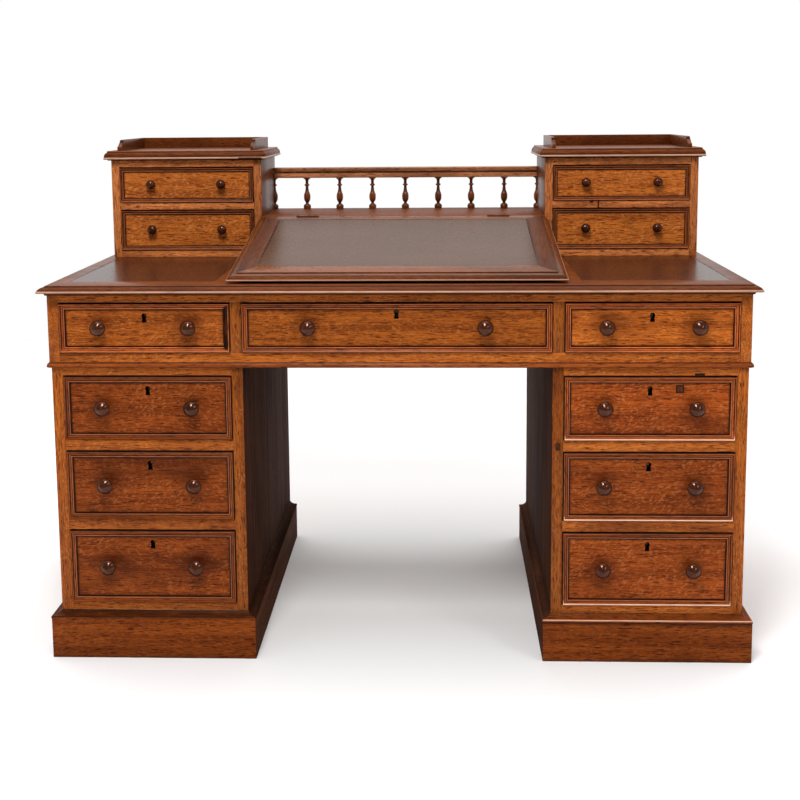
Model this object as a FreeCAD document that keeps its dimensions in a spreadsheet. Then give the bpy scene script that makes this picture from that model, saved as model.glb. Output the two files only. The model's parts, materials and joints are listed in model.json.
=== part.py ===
import FreeCAD, Part
import Sketcher
import os
import re

# Oak pedestal writing desk with a sloping lid between two small banks of drawers.
# Millimetres. X runs along the desk, +Y to its back, +Z up. The origin is on the floor, under the
# middle of the whole desk, knobs included.

SIZES = {
    # Height to write at, and the pedestals
    "desktop_height": 762,
    "pedestal_span": 1372,
    "pedestal_width": 381,
    "pedestal_depth": 660,
    "side_board": 22,
    "back_board": 10,
    "rail_depth": 40,
    "runner_width": 26,
    "bottom_rail": 16,
    "middle_drawer": 142,
    "top_drawer": 131,
    "rail": 22,
    "top_rail": 16,
    # Plinths, planted round the foot of each pedestal
    "plinth_height": 95,
    "plinth_overhang": 18,
    # Frieze
    "frieze_proud": 3,
    "frieze_bottom_rail": 30,
    "frieze_drawer": 101,
    "frieze_top_rail": 15,
    "waist_bead": 11,
    # Desktop
    "desktop_thickness": 19,
    "desktop_side_overhang": 15,
    "desktop_front_overhang": 20,
    "desktop_back_overhang": 12,
    "leather_thickness": 1,
    "leather_sink": 0.3,
    "leather_front_border": 72,
    "leather_side_border": 45,
    "leather_lid_border": 30,
    "leather_back_border": 4,
    # Drawers
    "drawer_gap": 1.2,
    "drawer_top_gap": 2.4,
    "drawer_front_lift": 0.9,
    "runner_clearance": 0.4,
    "drawer_front": 19,
    "drawer_side": 10,
    "drawer_side_drop": 8,
    "drawer_bottom": 6,
    "drawer_bottom_lift": 7,
    "drawer_back_space": 30,
    "panel_recess": 1.5,
    "moulding_width": 13,
    "moulding_height": 6,
    "moulding_crest": 4,
    "moulding_edge": 1.5,
    "cut_overrun": 1,
    # Knobs of the frieze and pedestal drawers
    "knob_diameter": 32,
    "knob_projection": 29,
    "knob_spacing": 178,
    "centre_knob_spacing": 346,
    "knob_rise": 2,
    "dowel_diameter": 10,
    "dowel_length": 15,
    "dowel_clearance": 0.1,
    # Locks and keyholes
    "keyhole_drop": 27,
    "centre_keyhole_drop": 20,
    "keyhole_diameter": 9,
    "keyhole_slot": 5,
    "keyhole_length": 13,
    "lock_plate_width": 56,
    "lock_plate_height": 44,
    "lock_plate_thickness": 2,
    "lock_case_width": 44,
    "lock_case_height": 34,
    "lock_case_depth": 9,
    "lock_bolt_width": 20,
    "lock_bolt_depth": 6,
    "lock_pin_diameter": 2.4,
    "lock_pin_length": 12,
    # Banks of small drawers
    "gallery_inset": 10,
    "gallery_width": 349,
    "gallery_depth": 225,
    "gallery_side": 18,
    "gallery_back": 8,
    "gallery_rail_depth": 24,
    "gallery_runner": 18,
    "gallery_bottom_rail": 16,
    "gallery_lower_drawer": 95,
    "gallery_middle_rail": 16,
    "gallery_upper_drawer": 83,
    "gallery_top_rail": 16,
    "gallery_drawer_front": 14,
    "gallery_drawer_side": 7,
    "gallery_drawer_space": 8,
    "gallery_moulding_width": 9.5,
    "gallery_moulding_height": 5,
    "gallery_moulding_crest": 3,
    "gallery_knob_diameter": 22,
    "gallery_knob_projection": 20,
    "gallery_knob_spacing": 163,
    "gallery_dowel_length": 11,
    "gallery_top_thickness": 22,
    "gallery_top_overhang": 14,
    "gallery_top_back_overhang": 6,
    # Low surround on each bank
    "surround_height": 25,
    "surround_board": 8,
    "surround_inset": 30,
    "surround_setback": 12,
    "surround_sweep": 34,
    # Rear shelf, cheeks and spindle rail
    "shelf_rise": 94,
    "shelf_thickness": 18,
    "cheek": 14,
    "cheek_inset": 9,
    "cheek_front_cut": 16,
    "rest_gap": 0.3,
    "spindle_height": 77,
    "spindle_diameter": 18,
    "spindle_setback": 15,
    "spindle_rail_height": 15,
    "spindle_rail_width": 20,
    "spindle_cap_height": 11,
    "spindle_cap_width": 30,
    # Lid
    "lid_thickness": 15,
    "lid_front_gap": 2.5,
    "lid_front_setback": 8,
    "lid_lap": 9,
    "lid_edge": 19,
    "lid_stile": 53,
    "lid_front_rail": 60,
    "lid_rear_rail": 26,
    "lid_panel": 9,
    # Butt hinges of the lid
    "hinge_setoff": 4,
    "hinge_joint": 1,
    "hinge_inset": 107,
    "hinge_length": 51,
    "hinge_leaf": 1.6,
    "hinge_leaf_height": 13,
    "hinge_recess": 3.4,
    "hinge_knuckle_diameter": 6,
    "hinge_pin_diameter": 3,
    "hinge_pin_clearance": 0.05,
    "hinge_knuckle_gap": 0.3,
    "hinge_axis_rise": 0.8,
}

# Moulded edges as corners from the bottom up. Each has its reach out of the face, its height, both as
# shares of the edge, and the bulge of the arc to the next corner as a share of that arc's chord.
DESKTOP_EDGE_SHARES = (
    (0.35, 0.00, 0), (0.35, 0.20, -0.2), (0.86, 0.46, 0), (1.00, 0.50, 0), (1.00, 0.62, 0.18),
    (0.38, 0.93, 0), (0.30, 0.93, 0), (0.30, 1.00, 0))
LID_EDGE_SHARES = (
    (0.60, 0.00, 0), (0.60, 0.10, 0), (1.00, 0.14, 0), (1.00, 0.34, 0.2), (0.10, 0.86, 0),
    (0.00, 0.86, 0), (0.00, 1.00, 0))
PLINTH_EDGE_SHARES = (
    (0.94, 0.00, 0), (0.94, 0.86, 0.18), (0.94, 0.92, 0), (0.82, 0.92, -0.14), (0.00, 1.00, 0))
# Turned pieces as corners: radius and height as shares, and the bulge of the arc to the next corner.
KNOB_SHARES = (
    (0.00, 1.00, 0.04), (0.93, 0.66, 0.25), (0.86, 0.46, -0.2), (0.48, 0.22, -0.12), (0.56, 0.00, 0))
GALLERY_KNOB_SHARES = (
    (0.00, 1.00, 0.16), (0.90, 0.72, 0.22), (0.86, 0.44, -0.12), (0.48, 0.20, -0.1), (0.56, 0.00, 0))
SPINDLE_SHARES = (
    (0.00, 0.00, 0), (1.00, 0.00, 0), (1.00, 0.035, 0.22), (0.48, 0.16, -0.15), (0.46, 0.21, 0.1),
    (0.90, 0.36, 0.08), (0.60, 0.54, -0.03), (0.38, 0.73, 0), (0.62, 0.75, 0.3), (0.62, 0.79, 0),
    (0.38, 0.81, -0.06), (0.38, 0.86, -0.18), (0.97, 1.00, 0), (0.00, 1.00, 0))
BEAD_RISE_SHARE = 0.36
CAP_RISE_SHARE = 0.25
SWEEP_RISE_SHARE = 0.1
SWEEP_STEP_SHARE = 0.36
SWEEP_TURN_SHARE = 0.68
SWEEP_BACK_SHARE = 0.5

# Places that several pieces share, written in the sheet's words
FRONT = "((frieze_proud - panel_recess + knob_projection - pedestal_depth - desktop_back_overhang) / 2)"
BACK = f"({FRONT} + pedestal_depth)"
OUTER = "(pedestal_span / 2)"
INNER = "(pedestal_span / 2 - pedestal_width)"
DESKTOP_TOP = "desktop_height"
FRIEZE_TOP = "(desktop_height - desktop_thickness)"
FRIEZE_FRONT = f"({FRONT} - frieze_proud)"
FRIEZE_OUTER = f"({OUTER} + frieze_proud)"
FRIEZE_OPENING = f"({FRIEZE_TOP} - frieze_top_rail - frieze_drawer)"
PEDESTAL_TOP = f"({FRIEZE_OPENING} - frieze_bottom_rail)"
TOP_OPENING = f"({PEDESTAL_TOP} - top_rail - top_drawer)"
MIDDLE_OPENING = f"({TOP_OPENING} - rail - middle_drawer)"
BOTTOM_OPENING = "(plinth_height + bottom_rail)"
BOTTOM_DRAWER = f"({MIDDLE_OPENING} - rail - {BOTTOM_OPENING})"
DESKTOP_HALF = f"({FRIEZE_OUTER} + desktop_side_overhang)"
DESKTOP_BACK = f"({BACK} + desktop_back_overhang)"
GALLERY_FRONT = f"({BACK} - gallery_depth)"
GALLERY_OUTER = f"({OUTER} - gallery_inset)"
GALLERY_INNER = f"({GALLERY_OUTER} - gallery_width)"
GALLERY_GAP = f"(2 * {GALLERY_INNER})"
LOWER_OPENING = f"({DESKTOP_TOP} + gallery_bottom_rail)"
UPPER_OPENING = f"({LOWER_OPENING} + gallery_lower_drawer + gallery_middle_rail)"
BANK_TOP = f"({UPPER_OPENING} + gallery_upper_drawer + gallery_top_rail)"
GALLERY_TOP = f"({BANK_TOP} + gallery_top_thickness)"
SHELF_TOP = f"({DESKTOP_TOP} + shelf_rise)"
SPINDLE_LINE = f"({BACK} - spindle_setback)"
HINGE_LINE = f"({GALLERY_FRONT} - hinge_setoff)"
LID_RUN = "(pedestal_depth - gallery_depth - hinge_setoff - lid_front_setback)"
LID_FALL = f"((shelf_rise - lid_thickness - lid_front_gap) / {LID_RUN})"
LID_ANGLE = f"atan({LID_FALL})"
LID_LENGTH = f"({LID_RUN} / cos({LID_ANGLE}))"
LID_HALF = f"({GALLERY_INNER} + lid_lap)"

# A sketch on FACING_X lies in the YZ plane, one on FACING_Y in the XZ plane
FACING_X = FreeCAD.Placement(FreeCAD.Vector(), FreeCAD.Rotation(FreeCAD.Vector(1, 1, 1), 120))
FACING_Y = FreeCAD.Placement(FreeCAD.Vector(), FreeCAD.Rotation(FreeCAD.Vector(1, 0, 0), 90))
FLAT = FreeCAD.Placement()
ALONG_X = FreeCAD.Vector(1, 0, 0)
ALONG_Y = FreeCAD.Vector(0, 1, 0)
ALONG_Z = FreeCAD.Vector(0, 0, 1)
LEFT = -1
RIGHT = 1
# A sketch numbers the two ends of each line or arc
FIRST_END = 1
SECOND_END = FIRST_END + 1
OTHER_END = {FIRST_END: SECOND_END, SECOND_END: FIRST_END}

doc = FreeCAD.newDocument("writing_desk")
sheet = doc.addObject("Spreadsheet::Sheet", "sizes")
for row, (alias, size) in enumerate(SIZES.items(), 1):
    sheet.set(f"A{row}", alias.replace("_", " "))
    sheet.set(f"B{row}", str(size))
    sheet.setAlias(f"B{row}", alias)
doc.recompute()

nodes = []


def formula(words):
    """Turns a formula in the sheet's words into an expression of the document."""
    return re.sub("[a-z_]+", lambda word: f"sizes.{word[0]}" if word[0] in SIZES else word[0], words)


def value(words):
    """Works out a formula with the sheet's present numbers."""
    result = sheet.evalExpression(formula(words))
    return float(getattr(result, "Value", result))


def bind(piece, **sizes):
    """Binds properties of a piece to formulas."""
    for name, words in sizes.items():
        piece.setExpression(name, formula(words))


def seat(piece, x="0", y="0", z="0"):
    """Binds the place of a piece to formulas."""
    for axis, words in zip("xyz", (x, y, z)):
        piece.setExpression(f"Placement.Base.{axis}", formula(words))


def mirrored(side, near, far):
    """Gives a span in X on one side of the desk's middle, lower end first."""
    return (near, far) if side == RIGHT else (f"-({far})", f"-({near})")


def plank(name, x, y, z):
    """Makes a square board from its spans in X, Y and Z."""
    board = doc.addObject("Part::Box", name)
    bind(board, Length=f"{x[1]} - ({x[0]})", Width=f"{y[1]} - ({y[0]})", Height=f"{z[1]} - ({z[0]})")
    seat(board, x[0], y[0], z[0])
    return board


def peg(name, diameter, length, x, y, z, turn):
    """Makes a round pin from the centre of one end, along Z turned as given."""
    pin = doc.addObject("Part::Cylinder", name)
    pin.Placement = FreeCAD.Placement(FreeCAD.Vector(), turn)
    bind(pin, Radius=f"({diameter}) / 2", Height=length)
    seat(pin, x, y, z)
    return pin


TO_FRONT = FreeCAD.Rotation(ALONG_X, 90)
TO_RIGHT = FreeCAD.Rotation(ALONG_Y, 90)


def cut(name, base, tools):
    """Takes tools away from a base."""
    result = doc.addObject("Part::Cut", name)
    result.Base = base
    result.Tool = tools[0] if len(tools) == 1 else fuse(f"{name}_tools", tools)
    return result


def fuse(name, shapes):
    """Joins overlapping shapes into one solid."""
    result = doc.addObject("Part::MultiFuse", name)
    result.Shapes = shapes
    return result


def meet(name, base, tool):
    """Keeps what two shapes share."""
    result = doc.addObject("Part::Common", name)
    result.Base = base
    result.Tool = tool
    return result


def gather(label, pieces):
    """Keeps separate solids together as one named sub-part."""
    group = doc.addObject("Part::Compound", label)
    group.Links = pieces
    nodes.append(group)
    return group


def outline(name, corners, plane):
    """Draws a closed outline whose corners and arcs follow the sheet.

    Each corner is its two coordinates as formulas and the bulge, to the right of the way round, of
    the arc to the next corner as a share of its chord. Zero means a straight line.
    """
    sketch = doc.addObject("Sketcher::SketchObject", name)
    sketch.Placement = plane
    points = [FreeCAD.Vector(value(u), value(v), 0) for u, v, bulge in corners]
    starts = []
    for index, (u, v, bulge) in enumerate(corners):
        start = points[index]
        end = points[(index + 1) % len(points)]
        chord = end - start
        middle = (start + end) / 2 + FreeCAD.Vector(chord.y, -chord.x, 0) * bulge
        curve = Part.Arc(start, middle, end) if bulge else Part.LineSegment(start, end)
        sketch.addGeometry(curve)
        first = sketch.getPoint(index, FIRST_END)
        is_start = first.distanceToPoint(start) <= first.distanceToPoint(end)
        starts.append(FIRST_END if is_start else SECOND_END)
    constraints = []
    rules = []
    for index, (u, v, bulge) in enumerate(corners):
        after = (index + 1) % len(corners)
        finish = OTHER_END[starts[index]]
        constraints.append(Sketcher.Constraint("Coincident", index, finish, after, starts[after]))
        rules.append(None)
        for kind, words, place in (("DistanceX", u, points[index].x), ("DistanceY", v, points[index].y)):
            constraints.append(Sketcher.Constraint(kind, -1, 1, index, starts[index], place))
            rules.append(words)
        if bulge:
            next_u, next_v, next_bulge = corners[after]
            chord = f"sqrt(({next_u} - ({u})) ^ 2 + ({next_v} - ({v})) ^ 2)"
            radius = f"{chord} * {(1 + 4 * bulge ** 2) / (8 * abs(bulge))}"
            constraints.append(Sketcher.Constraint("Radius", index, value(radius)))
            rules.append(radius)
    sketch.addConstraint(constraints)
    for number, words in enumerate(rules):
        if words:
            sketch.setExpression(f"Constraints[{number}]", formula(words))
    return sketch


def extrude(name, corners, plane, direction, start, length):
    """Extrudes an outline along X or Y from a starting place."""
    sketch = outline(f"{name}_outline", corners, plane)
    board = doc.addObject("Part::Extrusion", name)
    board.Base = sketch
    board.DirMode = "Custom"
    board.Dir = direction
    board.Solid = True
    bind(board, LengthFwd=length)
    seat(board, *(start if axis else "0" for axis in direction))
    return board


def turn(name, sketch, axis, angle=360):
    """Turns a profile about an axis through the sketch's origin."""
    turned = doc.addObject("Part::Revolution", name)
    turned.Source = sketch
    turned.Axis = axis
    turned.Angle = angle
    turned.Solid = True
    return turned


def right_edge(shares, face, reach, base, height):
    """Gives a moulded edge on the right of a board, from the bottom up."""
    return [(f"{face} + {out} * ({reach})", f"{base} + {up} * ({height})", bulge) for out, up, bulge in shares]


def left_edge(shares, face, reach, base, height):
    """Gives a moulded edge on the left of a board, from the top down."""
    bulges = [bulge for out, up, bulge in shares]
    ends = [0] + bulges[:-1]
    return [(f"{face} - {out} * ({reach})", f"{base} + {up} * ({height})", bulge)
            for (out, up, own), bulge in reversed(list(zip(shares, ends)))]


def moulded_top(label, centre, half, front, back, base, height, reaches, shares):
    """Makes a board with a moulded front and sides, mitred where they meet.

    half, front and back are the faces under the board's edges, and reaches how far the edge stands
    out of the sides and of the front.
    """
    side_reach, front_reach = reaches
    front_section = [(back, base, 0), (back, f"{base} + {height}", 0)]
    front_section += left_edge(shares, front, front_reach, base, height)
    side_section = right_edge(shares, half, side_reach, base, height)
    side_section += left_edge(shares, f"-({half})", side_reach, base, height)
    width = f"2 * ({half} + {side_reach})"
    depth = f"{back} - ({front}) + {front_reach}"
    along = extrude(f"{label}_along", front_section, FACING_X, ALONG_X, f"-({width}) / 2", width)
    across = extrude(f"{label}_across", side_section, FACING_Y, ALONG_Y, f"{front} - ({front_reach})", depth)
    board = meet(label, along, across)
    seat(board, centre)
    return board


def build_desktop():
    """Makes the desktop with its two leather panels let in."""
    board = moulded_top("desktop_board", "0", FRIEZE_OUTER, FRIEZE_FRONT, DESKTOP_BACK, FRIEZE_TOP,
                        "desktop_thickness", ("desktop_side_overhang", "desktop_front_overhang"),
                        DESKTOP_EDGE_SHARES)
    bed = f"({DESKTOP_TOP} - leather_thickness - leather_sink)"
    recesses = []
    leathers = []
    for side, word in ((LEFT, "left"), (RIGHT, "right")):
        x = mirrored(side, f"{LID_HALF} + leather_lid_border", f"{DESKTOP_HALF} - leather_side_border")
        y = (f"{FRIEZE_FRONT} - desktop_front_overhang + leather_front_border",
             f"{GALLERY_FRONT} - leather_back_border")
        recesses.append(plank(f"leather_recess_{word}", x, y, (bed, f"{DESKTOP_TOP} + cut_overrun")))
        leathers.append(plank(f"leather_{word}", x, y, (bed, f"{bed} + leather_thickness")))
    nodes.append(cut("desktop", board, recesses))
    gather("desktop_leathers", leathers)


def build_frieze():
    """Makes the frieze that lies on both pedestals and carries the desktop."""
    whole = (PEDESTAL_TOP, FRIEZE_TOP)
    behind = (f"{FRIEZE_FRONT} + rail_depth", f"{BACK} - back_board")
    carcass = []
    muntins = []
    runners = []
    between = (f"-({FRIEZE_OUTER} - side_board)", f"{FRIEZE_OUTER} - side_board")
    fore = (FRIEZE_FRONT, f"{FRIEZE_FRONT} + rail_depth")
    low = (PEDESTAL_TOP, FRIEZE_OPENING)
    opening = (FRIEZE_OPENING, f"{FRIEZE_OPENING} + frieze_drawer")
    for side, word in ((LEFT, "left"), (RIGHT, "right")):
        end = mirrored(side, f"{FRIEZE_OUTER} - side_board", FRIEZE_OUTER)
        wall = mirrored(side, INNER, f"{INNER} + side_board")
        carcass.append(plank(f"frieze_end_{word}", end, (FRIEZE_FRONT, BACK), whole))
        carcass.append(plank(f"frieze_partition_{word}", wall, behind, whole))
        muntins.append(plank(f"frieze_muntin_{word}", wall, fore, opening))
        for place, near in (("end", f"{FRIEZE_OUTER} - side_board - runner_width"),
                            ("inside", f"{INNER} + side_board"),
                            ("centre", f"{INNER} - runner_width")):
            span = mirrored(side, near, f"{near} + runner_width")
            runners.append(plank(f"frieze_runner_{place}_{word}", span, behind, low))
    carcass.append(plank("frieze_back", between, (f"{BACK} - back_board", BACK), whole))
    rails = [plank("frieze_rail_bottom", between, fore, low),
             plank("frieze_rail_top", between, fore, (opening[1], FRIEZE_TOP))]
    gather("frieze_carcass", carcass)
    gather("frieze_rails", rails + muntins)
    gather("frieze_runners", runners)


def build_waist_bead():
    """Makes the half-round bead round the foot of the frieze, mitred at the front corners."""
    low = PEDESTAL_TOP
    high = f"{PEDESTAL_TOP} + waist_bead"
    proud = f"waist_bead * {BEAD_RISE_SHARE}"
    fore = [(FRIEZE_FRONT, high, BEAD_RISE_SHARE), (FRIEZE_FRONT, low, 0)]
    ends = [(FRIEZE_OUTER, low, BEAD_RISE_SHARE), (FRIEZE_OUTER, high, 0),
            (f"-{FRIEZE_OUTER}", high, BEAD_RISE_SHARE), (f"-{FRIEZE_OUTER}", low, 0)]
    width = f"2 * ({FRIEZE_OUTER} + {proud})"
    strip = extrude("waist_front_strip", fore, FACING_X, ALONG_X, f"-({width}) / 2", width)
    mitre = extrude("waist_front_ends", ends, FACING_Y, ALONG_Y, f"{FRIEZE_FRONT} - {proud}", proud)
    depth = f"{BACK} - {FRIEZE_FRONT}"
    right = extrude("waist_right", ends[:2], FACING_Y, ALONG_Y, FRIEZE_FRONT, depth)
    left = extrude("waist_left", ends[2:], FACING_Y, ALONG_Y, FRIEZE_FRONT, depth)
    gather("waist_bead", [meet("waist_front", strip, mitre), left, right])


def build_pedestal(side, word):
    """Makes one pedestal's carcass, with its rails and drawer runners."""
    name = f"pedestal_{word}"
    height = ("0", PEDESTAL_TOP)
    within = mirrored(side, f"{INNER} + side_board", f"{OUTER} - side_board")
    fore = (FRONT, f"{FRONT} + rail_depth")
    behind = (fore[1], f"{BACK} - back_board")
    floor = ("plinth_height", BOTTOM_OPENING)
    ceiling = (f"{PEDESTAL_TOP} - top_rail", PEDESTAL_TOP)
    gather(f"{name}_carcass", [
        plank(f"{name}_outer_side", mirrored(side, f"{OUTER} - side_board", OUTER), (FRONT, BACK), height),
        plank(f"{name}_inner_side", mirrored(side, INNER, f"{INNER} + side_board"), (FRONT, BACK), height),
        plank(f"{name}_back", within, (f"{BACK} - back_board", BACK), height),
        plank(f"{name}_bottom", within, behind, floor),
        plank(f"{name}_top", within, behind, ceiling)])
    rails = [plank(f"{name}_rail_foot", within, fore, floor),
             plank(f"{name}_rail_head", within, fore, ceiling)]
    for place, opening in (("middle", MIDDLE_OPENING), ("top", TOP_OPENING)):
        level = (f"{opening} - rail", opening)
        rails.append(plank(f"{name}_rail_{place}", within, fore, level))
        for edge, near, far in (("inner", f"{INNER} + side_board", f"{INNER} + side_board + runner_width"),
                                ("outer", f"{OUTER} - side_board - runner_width", f"{OUTER} - side_board")):
            rails.append(plank(f"{name}_runner_{place}_{edge}", mirrored(side, near, far), behind, level))
    gather(f"{name}_rails_and_runners", rails)


def build_plinth(side, word):
    """Makes the three moulded boards planted round a pedestal's foot, the front one over the others' ends."""
    name = f"plinth_{word}"
    half = "(pedestal_width / 2)"
    edge = ("plinth_overhang", "0", "plinth_height")
    right = right_edge(PLINTH_EDGE_SHARES, half, *edge)
    left = left_edge(PLINTH_EDGE_SHARES, f"-{half}", *edge)
    front = [(FRONT, "0", 0)] + left_edge(PLINTH_EDGE_SHARES, FRONT, *edge)
    width = f"2 * ({half} + plinth_overhang)"
    along = extrude(f"{name}_along", front, FACING_X, ALONG_X, f"-({width}) / 2", width)
    start = f"{FRONT} - plinth_overhang"
    ends = extrude(f"{name}_ends", right + left, FACING_Y, ALONG_Y, start, "plinth_overhang")
    boards = [meet(f"{name}_front", along, ends)]
    for place, section in (("right", right + [(half, "0", 0)]), ("left", [(f"-{half}", "0", 0)] + left)):
        boards.append(extrude(f"{name}_{place}", section, FACING_Y, ALONG_Y, FRONT, "pedestal_depth"))
    group = gather(f"pedestal_{word}_plinth", boards)
    seat(group, f"{side} * ({INNER} + {half})")


def turned_knob(name, shares, diameter, projection, dowel):
    """Draws the profile of a knob with its dowel, its face to the front."""
    corners = [(f"{out} * {diameter} / 2", f"-{up} * {projection}", bulge) for out, up, bulge in shares]
    corners += [("dowel_diameter / 2", "0", 0), ("dowel_diameter / 2", dowel, 0), ("0", dowel, 0)]
    return outline(name, corners, FLAT)


def build_lock(name, centre, rear, high, keyhole):
    """Makes a lock on the inside of a drawer front: plate, case, withdrawn bolt and drill pin."""
    def across(width):
        return (f"{centre} - {width} / 2", f"{centre} + {width} / 2")
    low = f"{high} - lock_plate_height"
    back = f"({rear} + lock_plate_thickness)"
    case_top = f"{low} + lock_case_height"
    case_depth = (back, f"{back} + lock_case_depth")
    bolt_depth = (back, f"{back} + lock_bolt_depth")
    return gather(name, [
        plank(f"{name}_plate", across("lock_plate_width"), (rear, back), (low, high)),
        plank(f"{name}_case", across("lock_case_width"), case_depth, (low, case_top)),
        plank(f"{name}_bolt", across("lock_bolt_width"), bolt_depth, (case_top, high)),
        peg(f"{name}_pin", "lock_pin_diameter", "lock_pin_length", centre, rear, keyhole, TO_FRONT)])


def build_drawer(name, centre, width, opening, height, face, back, style, keyhole_drop=None):
    """Makes one drawer in its opening: box, front with its moulding, knobs and lock.

    centre, width, opening and height give the opening, face the face of the carcass there, and back
    the drawer's rear end.
    """
    half = f"({width} / 2 - drawer_gap)"
    panel = f"({face} + panel_recess)"
    rear = f"({panel} + {style['front']})"
    low = f"({opening} + drawer_front_lift)"
    high = f"({opening} + {height} - drawer_top_gap)"
    sole = f"({opening} + runner_clearance)"
    rim = f"({high} - drawer_side_drop)"
    span = (f"{centre} - {half}", f"{centre} + {half}")
    inside = (f"{centre} - {half} + {style['side']}", f"{centre} + {half} - {style['side']}")
    board = plank(f"{name}_board", span, (panel, rear), (low, high))
    tools = []
    knobs = []
    knob_height = f"(({low} + {high}) / 2 + knob_rise)"
    for hand, word in ((LEFT, "left"), (RIGHT, "right")):
        place = f"{centre} + {hand} * {style['spacing']} / 2"
        tools.append(peg(f"{name}_{word}_hole", "dowel_diameter + 2 * dowel_clearance",
                         f"{style['dowel']} + dowel_clearance + cut_overrun", place,
                         f"{panel} + {style['dowel']} + dowel_clearance", knob_height, TO_FRONT))
        knob = turn(f"{name}_{word}_knob", style["knob"], ALONG_Y)
        seat(knob, place, panel, knob_height)
        knobs.append(knob)
    if keyhole_drop:
        keyhole = f"({opening} + {height} - {keyhole_drop})"
        through = f"{style['front']} + 2 * cut_overrun"
        tools.append(peg(f"{name}_keyhole", "keyhole_diameter", through, centre, f"{rear} + cut_overrun",
                         keyhole, TO_FRONT))
        tools.append(plank(f"{name}_keyslot", (f"{centre} - keyhole_slot / 2", f"{centre} + keyhole_slot / 2"),
                           (f"{panel} - cut_overrun", f"{rear} + cut_overrun"),
                           (f"{keyhole} - keyhole_length", keyhole)))
        build_lock(f"{name}_lock", centre, rear, high, keyhole)
    front = cut(f"{name}_front", board, tools)
    bottom = (f"{sole} + drawer_bottom_lift", f"{sole} + drawer_bottom_lift + drawer_bottom")
    walls = (sole, rim)
    gather(name, [
        front,
        build_moulding(f"{name}_moulding", span, panel, (low, high), style),
        plank(f"{name}_left", (span[0], inside[0]), (rear, back), walls),
        plank(f"{name}_right", (inside[1], span[1]), (rear, back), walls),
        plank(f"{name}_back", inside, (f"{back} - {style['side']}", back), (bottom[1], rim)),
        plank(f"{name}_bottom", inside, (rear, back), bottom)])
    gather(f"{name}_knobs", knobs)


def build_moulding(name, span, panel, level, style):
    """Makes the mitred moulding round a drawer front, its crest near the outer edge."""
    tall = style["moulding_height"]
    slope = f"(({style['moulding_width']} - {style['crest']}) / {tall})"
    crest = f"({style['crest']} - {slope} * cut_overrun)"
    foot = f"({style['moulding_width']} + {slope} * cut_overrun)"
    solids = []
    for word, near, far, over in (("outer", "moulding_edge", "0", "0"), ("inner", crest, foot, "cut_overrun")):
        block = doc.addObject("Part::Wedge", f"{name}_{word}")
        bind(block, Ymin=f"{panel} - {tall} - {over}", Ymax=f"{panel} + {over}",
             Xmin=f"{span[0]} + {near}", Xmax=f"{span[1]} - {near}",
             Zmin=f"{level[0]} + {near}", Zmax=f"{level[1]} - {near}",
             X2min=f"{span[0]} + {far}", X2max=f"{span[1]} - {far}",
             Z2min=f"{level[0]} + {far}", Z2max=f"{level[1]} - {far}")
        solids.append(block)
    return cut(name, solids[0], solids[1:])


def build_drawers():
    """Makes the thirteen drawers with their knobs and locks."""
    knob = turned_knob("knob_profile", KNOB_SHARES, "knob_diameter", "knob_projection", "dowel_length")
    small_knob = turned_knob("gallery_knob_profile", GALLERY_KNOB_SHARES, "gallery_knob_diameter",
                             "gallery_knob_projection", "gallery_dowel_length")
    large = {"front": "drawer_front", "side": "drawer_side", "knob": knob, "spacing": "knob_spacing",
             "dowel": "dowel_length", "moulding_width": "moulding_width", "moulding_height": "moulding_height",
             "crest": "moulding_crest"}
    wide = dict(large, spacing="centre_knob_spacing")
    small = {"front": "gallery_drawer_front", "side": "gallery_drawer_side", "knob": small_knob,
             "spacing": "gallery_knob_spacing", "dowel": "gallery_dowel_length",
             "moulding_width": "gallery_moulding_width", "moulding_height": "gallery_moulding_height",
             "crest": "gallery_moulding_crest"}
    back = f"({BACK} - back_board - drawer_back_space)"
    frieze = (FRIEZE_OPENING, "frieze_drawer", FRIEZE_FRONT, back)
    near = f"({INNER} + side_board)"
    far = f"({FRIEZE_OUTER} - side_board)"
    build_drawer("frieze_drawer_centre", "0", f"(2 * {INNER})", *frieze, wide, "centre_keyhole_drop")
    for side, word in ((LEFT, "left"), (RIGHT, "right")):
        middle = f"{side} * ({near} + {far}) / 2"
        build_drawer(f"frieze_drawer_{word}", middle, f"({far} - {near})", *frieze, large, "keyhole_drop")
        middle = f"{side} * ({INNER} + pedestal_width / 2)"
        width = "(pedestal_width - 2 * side_board)"
        for level, opening, height in (("top", TOP_OPENING, "top_drawer"),
                                       ("middle", MIDDLE_OPENING, "middle_drawer"),
                                       ("bottom", BOTTOM_OPENING, BOTTOM_DRAWER)):
            build_drawer(f"pedestal_{word}_drawer_{level}", middle, width, opening, height, FRONT, back, large,
                         "keyhole_drop")
        middle = f"{side} * ({GALLERY_INNER} + gallery_width / 2)"
        width = "(gallery_width - 2 * gallery_side)"
        rear = f"({BACK} - gallery_back - gallery_drawer_space)"
        for level, opening, height in (("upper", UPPER_OPENING, "gallery_upper_drawer"),
                                       ("lower", LOWER_OPENING, "gallery_lower_drawer")):
            build_drawer(f"gallery_{word}_drawer_{level}", middle, width, opening, height, GALLERY_FRONT,
                         rear, small)


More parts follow.
